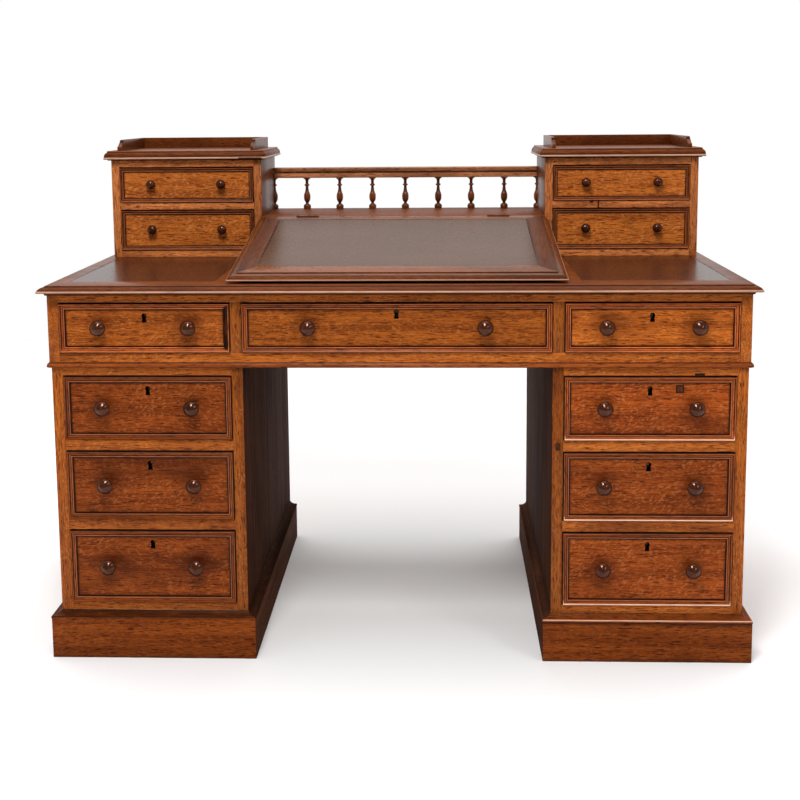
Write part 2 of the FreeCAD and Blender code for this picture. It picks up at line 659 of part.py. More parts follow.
def build_bank(side, word):
    """Makes one bank for small drawers, with its moulded top and low surround."""
    name = f"gallery_{word}"
    height = (DESKTOP_TOP, BANK_TOP)
    inner_face = f"{GALLERY_INNER} + gallery_side"
    outer_face = f"{GALLERY_OUTER} - gallery_side"
    within = mirrored(side, inner_face, outer_face)
    fore = (GALLERY_FRONT, f"{GALLERY_FRONT} + gallery_rail_depth")
    behind = (fore[1], f"{BACK} - gallery_back")
    level = (f"{UPPER_OPENING} - gallery_middle_rail", UPPER_OPENING)
    whole = (GALLERY_FRONT, BACK)
    gather(f"{name}_case", [
        plank(f"{name}_inner_side", mirrored(side, GALLERY_INNER, inner_face), whole, height),
        plank(f"{name}_outer_side", mirrored(side, outer_face, GALLERY_OUTER), whole, height),
        plank(f"{name}_back_board", within, (f"{BACK} - gallery_back", BACK), height),
        plank(f"{name}_floor", within, behind, (DESKTOP_TOP, LOWER_OPENING)),
        plank(f"{name}_rail_foot", within, fore, (DESKTOP_TOP, LOWER_OPENING)),
        plank(f"{name}_rail_middle", within, fore, level),
        plank(f"{name}_rail_head", within, fore, (f"{BANK_TOP} - gallery_top_rail", BANK_TOP)),
        plank(f"{name}_runner_inner", mirrored(side, inner_face, f"{inner_face} + gallery_runner"),
              behind, level),
        plank(f"{name}_runner_outer", mirrored(side, f"{outer_face} - gallery_runner", outer_face),
              behind, level)])
    middle = f"{side} * ({GALLERY_INNER} + gallery_width / 2)"
    top = moulded_top(f"{name}_top", middle, "(gallery_width / 2)", GALLERY_FRONT,
                      f"({BACK} + gallery_top_back_overhang)", BANK_TOP, "gallery_top_thickness",
                      ("gallery_top_overhang", "gallery_top_overhang"), DESKTOP_EDGE_SHARES)
    nodes.append(top)
    build_surround(name, side)


def build_surround(name, side):
    """Makes the low back board and the two swept side boards on a bank's top."""
    near = f"{GALLERY_INNER} - gallery_top_overhang + surround_inset"
    far = f"{GALLERY_OUTER} + gallery_top_overhang - surround_inset"
    high = f"({GALLERY_TOP} + surround_height)"
    rear = (f"{BACK} - surround_board", BACK)
    fore = f"({GALLERY_FRONT} - gallery_top_overhang + surround_setback)"
    step = f"{GALLERY_TOP} + {SWEEP_STEP_SHARE} * surround_height"
    turn_place = (f"{fore} + {SWEEP_BACK_SHARE} * surround_sweep",
                  f"{GALLERY_TOP} + {SWEEP_TURN_SHARE} * surround_height")
    section = [(rear[0], GALLERY_TOP, 0), (rear[0], high, 0),
               (f"{fore} + surround_sweep", high, SWEEP_RISE_SHARE),
               (*turn_place, -SWEEP_RISE_SHARE), (fore, step, 0), (fore, GALLERY_TOP, 0)]
    boards = [plank(f"{name}_surround_back", mirrored(side, near, far), rear, (GALLERY_TOP, high))]
    for place, span in (("inner", mirrored(side, near, f"{near} + surround_board")),
                        ("outer", mirrored(side, f"{far} - surround_board", far))):
        boards.append(extrude(f"{name}_surround_{place}", section, FACING_X, ALONG_X, span[0],
                              "surround_board"))
    gather(f"{name}_surround", boards)


def build_spindles():
    """Makes the turned spindles on the shelf and the rail and cap on top of them."""
    corners = [(f"{out} * spindle_diameter / 2", f"{up} * spindle_height", bulge)
               for out, up, bulge in SPINDLE_SHARES]
    profile = outline("spindle_profile", corners, FACING_Y)
    spindles = []
    whole_each_side = 3
    spaces = 2 * (whole_each_side + 1)
    for number in range(-whole_each_side, whole_each_side + 1):
        spindle = turn(f"spindle_{number + whole_each_side}", profile, ALONG_Z)
        seat(spindle, f"{number} * {GALLERY_GAP} / {spaces}", SPINDLE_LINE, SHELF_TOP)
        spindles.append(spindle)
    for side, word in ((LEFT, "left"), (RIGHT, "right")):
        half = turn(f"spindle_half_{word}", profile, ALONG_Z, 180)
        half.Placement = FreeCAD.Placement(FreeCAD.Vector(), FreeCAD.Rotation(ALONG_Z, 90 * side))
        seat(half, f"{side} * {GALLERY_INNER}", SPINDLE_LINE, SHELF_TOP)
        spindles.append(half)
    gather("spindles", spindles)
    across = (f"-{GALLERY_INNER}", GALLERY_INNER)
    foot = f"({SHELF_TOP} + spindle_height)"
    rail_top = f"({foot} + spindle_rail_height)"
    cap_top = f"{rail_top} + spindle_cap_height"
    cap_front = f"{SPINDLE_LINE} - spindle_cap_width / 2 + spindle_cap_height * {CAP_RISE_SHARE}"
    cap_back = f"{SPINDLE_LINE} + spindle_cap_width / 2 - spindle_cap_height * {CAP_RISE_SHARE}"
    cap = [(cap_back, rail_top, CAP_RISE_SHARE), (cap_back, cap_top, 0),
           (cap_front, cap_top, CAP_RISE_SHARE), (cap_front, rail_top, 0)]
    depth = (f"{SPINDLE_LINE} - spindle_rail_width / 2", f"{SPINDLE_LINE} + spindle_rail_width / 2")
    gather("spindle_rail", [
        plank("spindle_rail_board", across, depth, (foot, rail_top)),
        extrude("spindle_rail_cap", cap, FACING_X, ALONG_X, f"-{GALLERY_INNER}", GALLERY_GAP)])


def tilted(piece):
    """Lays a group drawn flat, with the hinge line as its origin, on the slope of the lid."""
    piece.Placement = FreeCAD.Placement(FreeCAD.Vector(), FreeCAD.Rotation(ALONG_X, value(LID_ANGLE)))
    piece.setExpression("Placement.Rotation.Angle", formula(LID_ANGLE))
    seat(piece, "0", HINGE_LINE, SHELF_TOP)
    return piece


def hinge_spans(part_share, first, last):
    """Gives the spans in X of a stretch of knuckle on each hinge, in thirds of its length."""
    spans = []
    for side in (LEFT, RIGHT):
        start = f"{side} * ({GALLERY_INNER} - hinge_inset) - hinge_length / 2"
        spans.append((f"{start} + {first} * hinge_length * {part_share}",
                      f"{start} + {last} * hinge_length * {part_share}"))
    return spans


THIRD_SHARE = 1 / 3


def build_hinge_leaf(name, span, hand, knuckles):
    """Makes one hinge leaf with its knuckles, bored for the pin."""
    inner = f"{hand} * (hinge_recess - hinge_leaf)"
    outer = f"{hand} * hinge_recess"
    depth = (inner, outer) if hand > 0 else (outer, inner)
    neck = "hinge_axis_rise - hinge_knuckle_diameter / 2"
    shapes = [plank(f"{name}_plate", span, depth, ("-hinge_leaf_height", f"{neck} - hinge_knuckle_gap"))]
    bores = []
    for number, (start, end) in enumerate(knuckles):
        length = f"{end} - ({start})"
        shapes.append(plank(f"{name}_neck_{number}", (start, end), depth,
                            (f"{neck} - 2 * hinge_knuckle_gap", "hinge_axis_rise")))
        shapes.append(peg(f"{name}_knuckle_{number}", "hinge_knuckle_diameter", length, start, "0",
                          "hinge_axis_rise", TO_RIGHT))
        bores.append(peg(f"{name}_bore_{number}", "hinge_pin_diameter + 2 * hinge_pin_clearance",
                         f"{length} + 2 * cut_overrun", f"{start} - cut_overrun", "0",
                         "hinge_axis_rise", TO_RIGHT))
    return cut(name, fuse(f"{name}_blank", shapes), bores)


def build_hinges():
    """Makes the two butt hinges, and gives the recesses for them in the lid and in the shelf."""
    whole = hinge_spans(THIRD_SHARE, 0, 3)
    first = hinge_spans(THIRD_SHARE, 0, 1)
    second = hinge_spans(THIRD_SHARE, 1, 2)
    third = hinge_spans(THIRD_SHARE, 2, 3)
    lid_leaves = []
    shelf_leaves = []
    lid_recesses = []
    shelf_recesses = []
    for number, word in enumerate(("left", "right")):
        span = whole[number]
        middle = (f"{second[number][0]} + hinge_knuckle_gap", f"{second[number][1]} - hinge_knuckle_gap")
        lid_leaves.append(build_hinge_leaf(f"lid_leaf_{word}", span, -1, [middle]))
        shelf_leaves.append(build_hinge_leaf(f"shelf_leaf_{word}", span, 1, [first[number], third[number]]))
        shelf_leaves.append(peg(f"hinge_pin_{word}", "hinge_pin_diameter", f"{span[1]} - ({span[0]})", span[0],
                                "0", "hinge_axis_rise", TO_RIGHT))
        room = (f"{span[0]} - hinge_knuckle_gap", f"{span[1]} + hinge_knuckle_gap")
        level = ("-hinge_leaf_height", "cut_overrun")
        lid_recesses.append(plank(f"lid_recess_{word}", room, ("-hinge_recess", "0"), level))
        shelf_recesses.append(plank(f"shelf_recess_{word}", room, ("0", "hinge_recess"), level))
    tilted(gather("lid_hinge_leaves", lid_leaves))
    tilted(gather("shelf_hinge_leaves", shelf_leaves))
    return lid_recesses, shelf_recesses


def build_slope_bed(recesses):
    """Makes the shelf behind the lid, the cheeks under it and the board that closes the back."""
    edge = f"({HINGE_LINE} + hinge_joint / 2)"
    under = f"({SHELF_TOP} - shelf_thickness)"
    across = (f"-{GALLERY_INNER}", GALLERY_INNER)
    section = [(BACK, under, 0), (BACK, SHELF_TOP, 0), (edge, SHELF_TOP, 0),
               (f"{edge} + shelf_thickness * {LID_FALL}", under, 0)]
    board = extrude("shelf_board", section, FACING_X, ALONG_X, across[0], GALLERY_GAP)
    tool = doc.addObject("Part::Compound", "shelf_recesses")
    tool.Links = recesses
    shelf = cut("shelf", board, [tilted(tool)])
    closing = (f"{BACK} - gallery_back", BACK)

    def under_lid(place):
        gap = f"(lid_thickness + rest_gap) / cos({LID_ANGLE})"
        return f"({SHELF_TOP} - ({HINGE_LINE} - ({place})) * {LID_FALL} - {gap})"
    tip = f"({FRONT} + lid_front_setback + lid_edge + cheek_front_cut)"
    bend = f"({edge} + shelf_thickness * {LID_FALL})"
    profile = [(tip, DESKTOP_TOP, 0), (closing[0], DESKTOP_TOP, 0), (closing[0], under, 0), (bend, under, 0),
               (HINGE_LINE, under_lid(HINGE_LINE), 0), (tip, under_lid(tip), 0)]
    pieces = [shelf, plank("slope_back", across, closing, (DESKTOP_TOP, under))]
    for side, word in ((LEFT, "left"), (RIGHT, "right")):
        span = mirrored(side, f"{GALLERY_INNER} - cheek_inset - cheek", f"{GALLERY_INNER} - cheek_inset")
        pieces.append(extrude(f"slope_cheek_{word}", profile, FACING_X, ALONG_X, span[0], "cheek"))
    gather("slope_bed", pieces)


def build_lid(recesses):
    """Makes the framed lid with its leather panel, drawn flat and then laid on its slope."""
    low = "-lid_thickness"
    face = f"({LID_HALF} - lid_edge)"
    nose = f"-{LID_LENGTH}"
    front_inside = f"({nose} + lid_front_rail)"
    rear_outside = "(-hinge_joint / 2)"
    rear_inside = f"({rear_outside} - lid_rear_rail)"
    stile_inside = f"({LID_HALF} - lid_stile)"
    shape = ("lid_edge", low, "lid_thickness")
    both = right_edge(LID_EDGE_SHARES, face, *shape) + left_edge(LID_EDGE_SHARES, f"-{face}", *shape)
    front_section = [(front_inside, low, 0), (front_inside, "0", 0)]
    front_section += left_edge(LID_EDGE_SHARES, f"({nose} + lid_edge)", *shape)
    width = f"2 * {LID_HALF}"
    along = extrude("lid_front_along", front_section, FACING_X, ALONG_X, f"-{LID_HALF}", width)
    ends = extrude("lid_front_ends", both, FACING_Y, ALONG_Y, nose, "lid_front_rail")
    rear = extrude("lid_rear_blank", both, FACING_Y, ALONG_Y, rear_inside, "lid_rear_rail")
    length = f"{rear_inside} - {front_inside}"
    right = right_edge(LID_EDGE_SHARES, face, *shape) + [(stile_inside, "0", 0), (stile_inside, low, 0)]
    left = [(f"-{stile_inside}", low, 0), (f"-{stile_inside}", "0", 0)]
    left += left_edge(LID_EDGE_SHARES, f"-{face}", *shape)
    middle = ((f"-{stile_inside}", stile_inside), (front_inside, rear_inside))
    top = "(-leather_sink - leather_thickness)"
    frame = gather("lid_frame", [
        meet("lid_front", along, ends),
        cut("lid_rear", rear, recesses),
        extrude("lid_stile_right", right, FACING_Y, ALONG_Y, front_inside, length),
        extrude("lid_stile_left", left, FACING_Y, ALONG_Y, front_inside, length),
        plank("lid_panel_board", *middle, (f"{top} - lid_panel", top))])
    leather = gather("lid_leather", [plank("lid_leather_skin", *middle, (top, "-leather_sink"))])
    tilted(frame)
    tilted(leather)


def main():
    """Builds every sub-part, checks it and writes it."""
    build_desktop()
    build_frieze()
    build_waist_bead()
    for side, word in ((LEFT, "left"), (RIGHT, "right")):
        build_pedestal(side, word)
        build_plinth(side, word)
        build_bank(side, word)
    build_drawers()
    build_spindles()
    lid_recesses, shelf_recesses = build_hinges()
    build_slope_bed(shelf_recesses)
    build_lid(lid_recesses)
    doc.recompute()
    failed = [piece.Name for piece in doc.Objects if {"Invalid", "Error"} & set(piece.State)]
    failed += [node.Label for node in nodes if node.Shape.isNull() or not node.Shape.isValid()]
    if failed:
        raise SystemExit(f"failed: {', '.join(failed)}")
    os.makedirs("parts", exist_ok=True)
    for node in nodes:
        node.Shape.exportStep(f"parts/{node.Label}.step")
    box = Part.makeCompound([node.Shape for node in nodes]).BoundBox
    print(f"{len(nodes)} sub-parts, {sum(len(node.Shape.Solids) for node in nodes)} solids")
    print(f"X {box.XMin:.2f} to {box.XMax:.2f}, Y {box.YMin:.2f} to {box.YMax:.2f}")
    print(f"Z {box.ZMin:.2f} to {box.ZMax:.2f}")


main()
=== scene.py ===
import json
import logging
import math
import random
from dataclasses import dataclass, field, replace
from enum import Enum
from typing import Callable, Optional, Sequence

import bmesh
import bpy
import numpy as np
from mathutils import Matrix, Vector

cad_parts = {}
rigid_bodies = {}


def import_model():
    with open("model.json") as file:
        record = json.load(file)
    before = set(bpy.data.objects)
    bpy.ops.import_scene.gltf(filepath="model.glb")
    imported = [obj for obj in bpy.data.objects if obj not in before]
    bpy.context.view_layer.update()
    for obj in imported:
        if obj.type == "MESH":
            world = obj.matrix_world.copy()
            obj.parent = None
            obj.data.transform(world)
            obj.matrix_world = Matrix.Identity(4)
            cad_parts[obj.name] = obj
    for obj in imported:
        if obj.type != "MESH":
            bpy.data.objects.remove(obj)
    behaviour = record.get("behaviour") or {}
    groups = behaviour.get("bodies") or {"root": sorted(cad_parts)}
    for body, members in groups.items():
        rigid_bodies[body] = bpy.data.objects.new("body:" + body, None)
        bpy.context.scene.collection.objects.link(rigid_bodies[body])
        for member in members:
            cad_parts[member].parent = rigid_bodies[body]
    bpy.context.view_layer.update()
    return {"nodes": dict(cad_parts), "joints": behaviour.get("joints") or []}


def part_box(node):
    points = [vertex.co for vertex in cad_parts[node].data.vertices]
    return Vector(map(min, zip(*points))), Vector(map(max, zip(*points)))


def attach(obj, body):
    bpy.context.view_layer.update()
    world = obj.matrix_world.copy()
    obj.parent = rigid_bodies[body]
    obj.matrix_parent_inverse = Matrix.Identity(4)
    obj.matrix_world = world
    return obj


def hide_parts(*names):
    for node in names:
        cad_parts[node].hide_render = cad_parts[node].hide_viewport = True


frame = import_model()

# Looks of an oak pedestal writing desk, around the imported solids. Metres, in the frame of the solids:
# X along the desk, +Y to its back, +Z up, origin on the floor.

MM = 0.001
CORNERS_PER_BOARD = 24
log = logging.getLogger("desk")

# Roundings: of a board's edges, of mouldings, and of leather and thin boards
ARRIS = 0.7 * MM
EDGE_EASE = 0.5 * MM
THIN_EASE = 0.4 * MM
# The sharpest corners that still shade smoothly, in degrees: on eased, worked and turned wood
EASED_CORNER = 38.0
WORKED_CORNER = 30.0
TURNED_CORNER = 40.0
# Two places closer than this are one
NEAR = 0.1 * MM
# How far the boards lie apart in the log that they are cut from
LOG_REACH = 40.0
# Share of a normal that makes a face look along it, a flat top, or a plain back
ALIKE = 0.9
FLAT_TOP = 0.95
PLAIN_BACK = 0.999
TO_FRONT = Vector((0, -1, 0))
UPWARDS = Vector((0, 0, 1))
# A leather's edge, darkened as painted shade of the gap round it, and the border inside it: widths in
# millimetres with their dirt and painted shade
SKIN_EDGE_SHADE = 0.95
SKIN_BORDER = ((2.4, 0.95), (0.8, 0.1), (2.0, 0.0))

Span = tuple[Vector, Vector]
Step = tuple[float, float, float]
Point = tuple[float, float]
Colour = tuple[float, float, float]


class Grain(Enum):
    """The way a board's fibres run, as the order of the axes along, across and through it."""

    X = (0, 1, 2)
    Y = (1, 0, 2)
    Z = (2, 0, 1)


class Side(Enum):
    """A side of the desk, as the sitter sees it."""

    LEFT = -1
    RIGHT = 1

    @property
    def word(self) -> str:
        """The side's name as the solids spell it."""
        return self.name.lower()


class Graph:
    """A material's node graph, wired by short calls."""

    def __init__(self, name: str) -> None:
        """Starts a graph that holds a shader and nothing else.

        Args:
            name: The material's name.
        """
        self.material = bpy.data.materials.new(name)
        self.material.use_nodes = True
        self.tree = self.material.node_tree
        self.tree.nodes.clear()
        self.shader = self.tree.nodes.new("ShaderNodeBsdfPrincipled")
        output = self.tree.nodes.new("ShaderNodeOutputMaterial")
        self.tree.links.new(self.shader.outputs["BSDF"], output.inputs["Surface"])

    def feed(self, node: bpy.types.Node, inputs: dict) -> None:
        """Links sockets, or sets plain values, on a node's inputs.

        Args:
            node: The node to feed.
            inputs: Input names or numbers with a socket or a value for each.
        """
        for name, value in inputs.items():
            if isinstance(value, bpy.types.NodeSocket):
                self.tree.links.new(value, node.inputs[name])
            else:
                node.inputs[name].default_value = value

    def add(self, kind: str, inputs: dict, **settings: object) -> bpy.types.Node:
        """Adds a node.

        Args:
            kind: The node's type.
            inputs: What feeds its inputs.
            **settings: Its own settings.

        Returns:
            The new node.
        """
        node = self.tree.nodes.new(kind)
        for name, value in settings.items():
            setattr(node, name, value)
        self.feed(node, inputs)
        return node

    def shade(self, **inputs: object) -> None:
        """Feeds the shader, with underscores for the spaces in its inputs' names."""
        self.feed(self.shader, {name.replace("_", " "): value for name, value in inputs.items()})

    def attribute(self, name: str, output: str = "Fac") -> bpy.types.NodeSocket:
        """Gives what the mesh notes under a name."""
        return self.add("ShaderNodeAttribute", {}, attribute_name=name).outputs[output]

    def place(self) -> bpy.types.NodeSocket:
        """Gives the place on the object."""
        return self.add("ShaderNodeTexCoord", {}).outputs["Object"]

    def remap(self, value: bpy.types.NodeSocket, low: float, high: float, start: float = 0.0,
              end: float = 1.0) -> bpy.types.NodeSocket:
        """Maps a stretch of values smoothly to another.

        Args:
            value: The value to map.
            low: Where the stretch starts.
            high: Where it ends.
            start: What the start becomes.
            end: What the end becomes.

        Returns:
            The mapped value.
        """
        node = self.add("ShaderNodeMapRange", {"Value": value, "From Min": low, "From Max": high,
                                               "To Min": start, "To Max": end},
                        interpolation_type="SMOOTHSTEP")
        return node.outputs["Result"]

    def math(self, operation: str, first: object, second: object) -> bpy.types.NodeSocket:
        """Combines two values.

        Args:
            operation: The sum to do.
            first: A socket or number.
            second: A socket or number.

        Returns:
            The result.
        """
        return self.add("ShaderNodeMath", {0: first, 1: second}, operation=operation).outputs[0]

    def mix(self, factor: object, first: object, second: object) -> bpy.types.NodeSocket:
        """Mixes two colours.

        Args:
            factor: How much of the second colour.
            first: A socket or a colour.
            second: A socket or a colour.

        Returns:
            The mixed colour.
        """
        node = self.add("ShaderNodeMix", {}, data_type="RGBA")
        sockets = {"Factor_Float": factor, "A_Color": first, "B_Color": second}
        for socket in node.inputs:
            value = sockets.get(socket.identifier)
            if value is None:
                continue
            if isinstance(value, bpy.types.NodeSocket):
                self.tree.links.new(value, socket)
            else:
                socket.default_value = value if isinstance(value, float) else (*value, 1.0)
        return next(socket for socket in node.outputs if socket.identifier == "Result_Color")

    def bump(self, height: bpy.types.NodeSocket, strength: float, distance: float) -> bpy.types.NodeSocket:
        """Turns heights into a rough surface.

        Args:
            height: The heights, from none to one.
            strength: How much shows.
            distance: Metres from the lowest to the highest.

        Returns:
            The normal for the shader.
        """
        return self.add("ShaderNodeBump", {"Height": height, "Strength": strength,
                                           "Distance": distance}).outputs["Normal"]


@dataclass(frozen=True)
class Figure:
    """A noise that draws one part of a surface, by its repeats a metre along each axis."""

    repeats: tuple[float, float, float]
    detail: float
    roughness: float = 0.5
    distortion: float = 0.0
    turn: tuple[float, float, float] = (0.0, 0.0, 0.0)

    def draw(self, graph: Graph, place: bpy.types.NodeSocket, output: str = "Fac") -> bpy.types.NodeSocket:
        """Draws the noise over a place, turned where asked.

        Args:
            graph: The material's graph.
            place: The place.
            output: Which of the noise's outputs to give.

        Returns:
            The chosen output.
        """
        if any(self.turn):
            place = graph.add("ShaderNodeMapping", {"Vector": place, "Rotation": self.turn}).outputs["Vector"]
        scaled = graph.add("ShaderNodeMapping", {"Vector": place, "Scale": self.repeats}).outputs["Vector"]
        noise = graph.add("ShaderNodeTexNoise", {"Vector": scaled, "Scale": 1.0, "Detail": self.detail,
                                                 "Roughness": self.roughness, "Distortion": self.distortion})
        return noise.outputs[output]


# Figure of oak: along, across and through a board
SWAY = Figure((2.5, 11, 11), 2.0)
BANDS = Figure((1.9, 75, 75), 4.0, 0.62)
STREAKS = Figure((38, 520, 520), 2.5, 0.6)
PORES = Figure((52, 560, 560), 1.5, 0.55)
RAY_GROUPS = Figure((5, 15, 15), 1.0)
RISING_RAYS = Figure((30, 260, 260), 2.0, 0.5, 0.4, (0.0, 0.5, 0.5))
FALLING_RAYS = Figure((34, 290, 290), 2.0, 0.5, 0.4, (0.0, -0.38, -0.38))
STAINS = Figure((3.2, 6.5, 6.5), 3.0, 0.6)
OLD_WAX = Figure((30, 60, 60), 2.0)
# How far the fibres sway and how deep the pores are
SWAY_REACH = (0.0, 0.013, 0.013)
PORE_DEPTH = 0.25 * MM
# Figure of leather, with the repeats and depth of its pebbles, and of old brass
LEATHER_WEAR = Figure((4, 9, 9), 3.0, 0.5)
LEATHER_RUBS = Figure((130, 420, 420), 2.0, 0.6)
PEBBLE_REPEATS = 900.0
PEBBLE_DEPTH = 0.1 * MM
TARNISH = Figure((90, 90, 90), 4.0, 0.65)
# A dark ring round a knob: where it is full and where it ends, how far it strays, how dark it is
KNOB_RING_NEAR = 0.010
KNOB_RING_FAR = 0.046
KNOB_RING_STRAY = -0.09
KNOB_RING_SHARE = 0.42


@dataclass(frozen=True)
class OakFinish:
    """Waxed oak: colours as light on the surface, and how strongly its figure shows."""

    name: str
    dark: Colour
    light: Colour
    fleck: Colour
    stain: Colour
    fleck_share: float = 0.6
    stain_share: float = 0.6
    gloss_low: float = 0.36
    gloss_high: float = 0.52
    shine: float = 0.15
    cast: Colour = (1.0, 0.86, 0.74)
    relief: float = 0.35
    handled: bool = False
    # Dark colour for dirt and for painted shade in hollows, quirks and gaps; pale colour for rubbed edges and
    # painted highlights on beads
    dirt: Colour = (0.016, 0.005, 0.002)
    rub: Colour = (0.90, 0.56, 0.41)

    def material(self) -> bpy.types.Material:
        """Makes the wood.

        Returns:
            The material, whose figure follows each board's fibres.
        """
        graph = Graph(self.name)
        log_place = graph.attribute("grain", "Vector")
        sway = SWAY.draw(graph, log_place, "Color")
        swing = graph.add("ShaderNodeVectorMath", {0: sway, 1: SWAY_REACH}, operation="MULTIPLY")
        place = graph.add("ShaderNodeVectorMath", {0: log_place, 1: swing.outputs[0]}).outputs[0]
        figures = (BANDS, STREAKS, PORES, RAY_GROUPS, RISING_RAYS, FALLING_RAYS)
        bands, streaks, pores, groups, rising, falling = (figure.draw(graph, place) for figure in figures)
        stains = STAINS.draw(graph, log_place)
        flecks = graph.math("MULTIPLY", graph.remap(rising, 0.5, 0.66), graph.remap(groups, 0.4, 0.56))
        others = graph.math("MULTIPLY", graph.remap(falling, 0.52, 0.68), graph.remap(groups, 0.54, 0.4))
        shown = graph.math("MULTIPLY", graph.math("MAXIMUM", flecks, others), self.fleck_share)
        colour = graph.mix(graph.remap(bands, 0.3, 0.68, 0.25, 1.0), self.dark, self.light)
        colour = graph.mix(graph.remap(streaks, 0.46, 0.66, 0.0, 0.7), colour, self.dark)
        colour = graph.mix(shown, colour, self.fleck)
        colour = graph.mix(graph.remap(pores, 0.55, 0.66, 0.0, 0.9), colour, self.stain)
        colour = graph.mix(graph.remap(stains, 0.48, 0.7, 0.0, self.stain_share), colour, self.stain)
        if self.handled:
            colour = graph.mix(self.handling(graph, stains), colour, self.stain)
        tone = graph.math("ADD", graph.attribute("tone"), 1.0)
        colour = graph.add("ShaderNodeVectorMath", {0: colour, "Scale": tone}, operation="SCALE").outputs[0]
        colour = self.wear(graph, colour, log_place)
        heights = graph.math("SUBTRACT", graph.math("MULTIPLY", streaks, 0.6), graph.remap(pores, 0.54, 0.66))
        gloss = graph.remap(bands, 0.25, 0.75, self.gloss_high, self.gloss_low)
        graph.shade(Base_Color=colour, Roughness=gloss, Normal=graph.bump(heights, self.relief, PORE_DEPTH),
                    Specular_IOR_Level=self.shine, Specular_Tint=(*self.cast, 1.0))
        return graph.material

    def wear(self, graph: Graph, colour: bpy.types.NodeSocket,
             log_place: bpy.types.NodeSocket) -> bpy.types.NodeSocket:
        """Rubs edges pale and paints highlights on beads, and lays old wax, dirt and painted shade, as the
        mesh's marks say.

        Args:
            graph: The material's graph.
            colour: The clean wood's colour.
            log_place: The place in the log.

        Returns:
            The worn colour.
        """
        lying = graph.attribute("dirt")
        patchy = graph.remap(OLD_WAX.draw(graph, log_place), 0.2, 0.6, 0.75, 1.0)
        for way, layer in ((-1.0, self.rub), (1.0, self.dirt)):
            amount = graph.math("MAXIMUM", graph.math("MULTIPLY", lying, way), 0.0)
            colour = graph.mix(graph.math("MULTIPLY", amount, patchy), colour, layer)
        return colour

    def handling(self, graph: Graph, mottle: bpy.types.NodeSocket) -> bpy.types.NodeSocket:
        """Darkens a drawer's front round its two knobs.

        Args:
            graph: The material's graph.
            mottle: A broad noise that breaks up the edge.

        Returns:
            How much of the stain shows.
        """
        spot = graph.attribute("front_place", "Vector")
        parts = graph.add("ShaderNodeSeparateXYZ", {"Vector": spot}).outputs
        aside = graph.math("SUBTRACT", graph.math("ABSOLUTE", parts["X"], 0.0), parts["Y"])
        squares = graph.math("ADD", graph.math("MULTIPLY", aside, aside),
                             graph.math("MULTIPLY", parts["Z"], parts["Z"]))
        stray = graph.math("MULTIPLY", graph.math("SUBTRACT", mottle, 0.5), KNOB_RING_STRAY)
        distance = graph.math("ADD", graph.math("SQRT", squares, 0.0), stray)
        return graph.remap(distance, KNOB_RING_FAR, KNOB_RING_NEAR, 0.0, KNOB_RING_SHARE)


@dataclass(frozen=True)
class LeatherFinish:
    """Old writing leather, worn and a little shiny."""

    name: str
    dark: Colour
    light: Colour
    gloss_low: float = 0.25
    gloss_high: float = 0.30
    shine: float = 0.40
    cast: Colour = (1.0, 0.85, 0.74)
    # Dark colour of the leather's edge line: painted shade of the gap round it
    dirt: Colour = (0.006, 0.003, 0.002)

    def material(self) -> bpy.types.Material:
        """Makes the leather.

        Returns:
            The material, with a fine pebbled skin, rubbed along its length.
        """
        graph = Graph(self.name)
        place = graph.place()
        wear = LEATHER_WEAR.draw(graph, place)
        pebbles = graph.add("ShaderNodeTexVoronoi", {"Vector": place, "Scale": PEBBLE_REPEATS})
        rubs = LEATHER_RUBS.draw(graph, place)
        colour = graph.mix(graph.remap(wear, 0.35, 0.7), self.dark, self.light)
        colour = graph.mix(graph.remap(rubs, 0.4, 0.65, 0.0, 0.5), colour, self.light)
        colour = graph.mix(graph.attribute("dirt"), colour, self.dirt)
        graph.shade(Base_Color=colour, Normal=graph.bump(pebbles.outputs["Distance"], 0.08, PEBBLE_DEPTH),
                    Roughness=graph.remap(rubs, 0.3, 0.7, self.gloss_high, self.gloss_low),
                    Specular_IOR_Level=self.shine, Specular_Tint=(*self.cast, 1.0))
        return graph.material


@dataclass(frozen=True)
class MetalFinish:
    """Aged brass of locks and hinges."""

    name: str
    bright: Colour
    tarnish: Colour
    gloss_low: float = 0.28
    gloss_high: float = 0.5

    def material(self) -> bpy.types.Material:
        """Makes the brass.

        Returns:
            The material, tarnished in patches.
        """
        graph = Graph(self.name)
        patches = TARNISH.draw(graph, graph.place())
        amount = graph.remap(patches, 0.4, 0.66)
        graph.shade(Base_Color=graph.mix(amount, self.bright, self.tarnish), Metallic=1.0,
                    Roughness=graph.remap(patches, 0.3, 0.7, self.gloss_low, self.gloss_high))
        return graph.material


FRONT_CAST = (1.0, 0.72, 0.45)


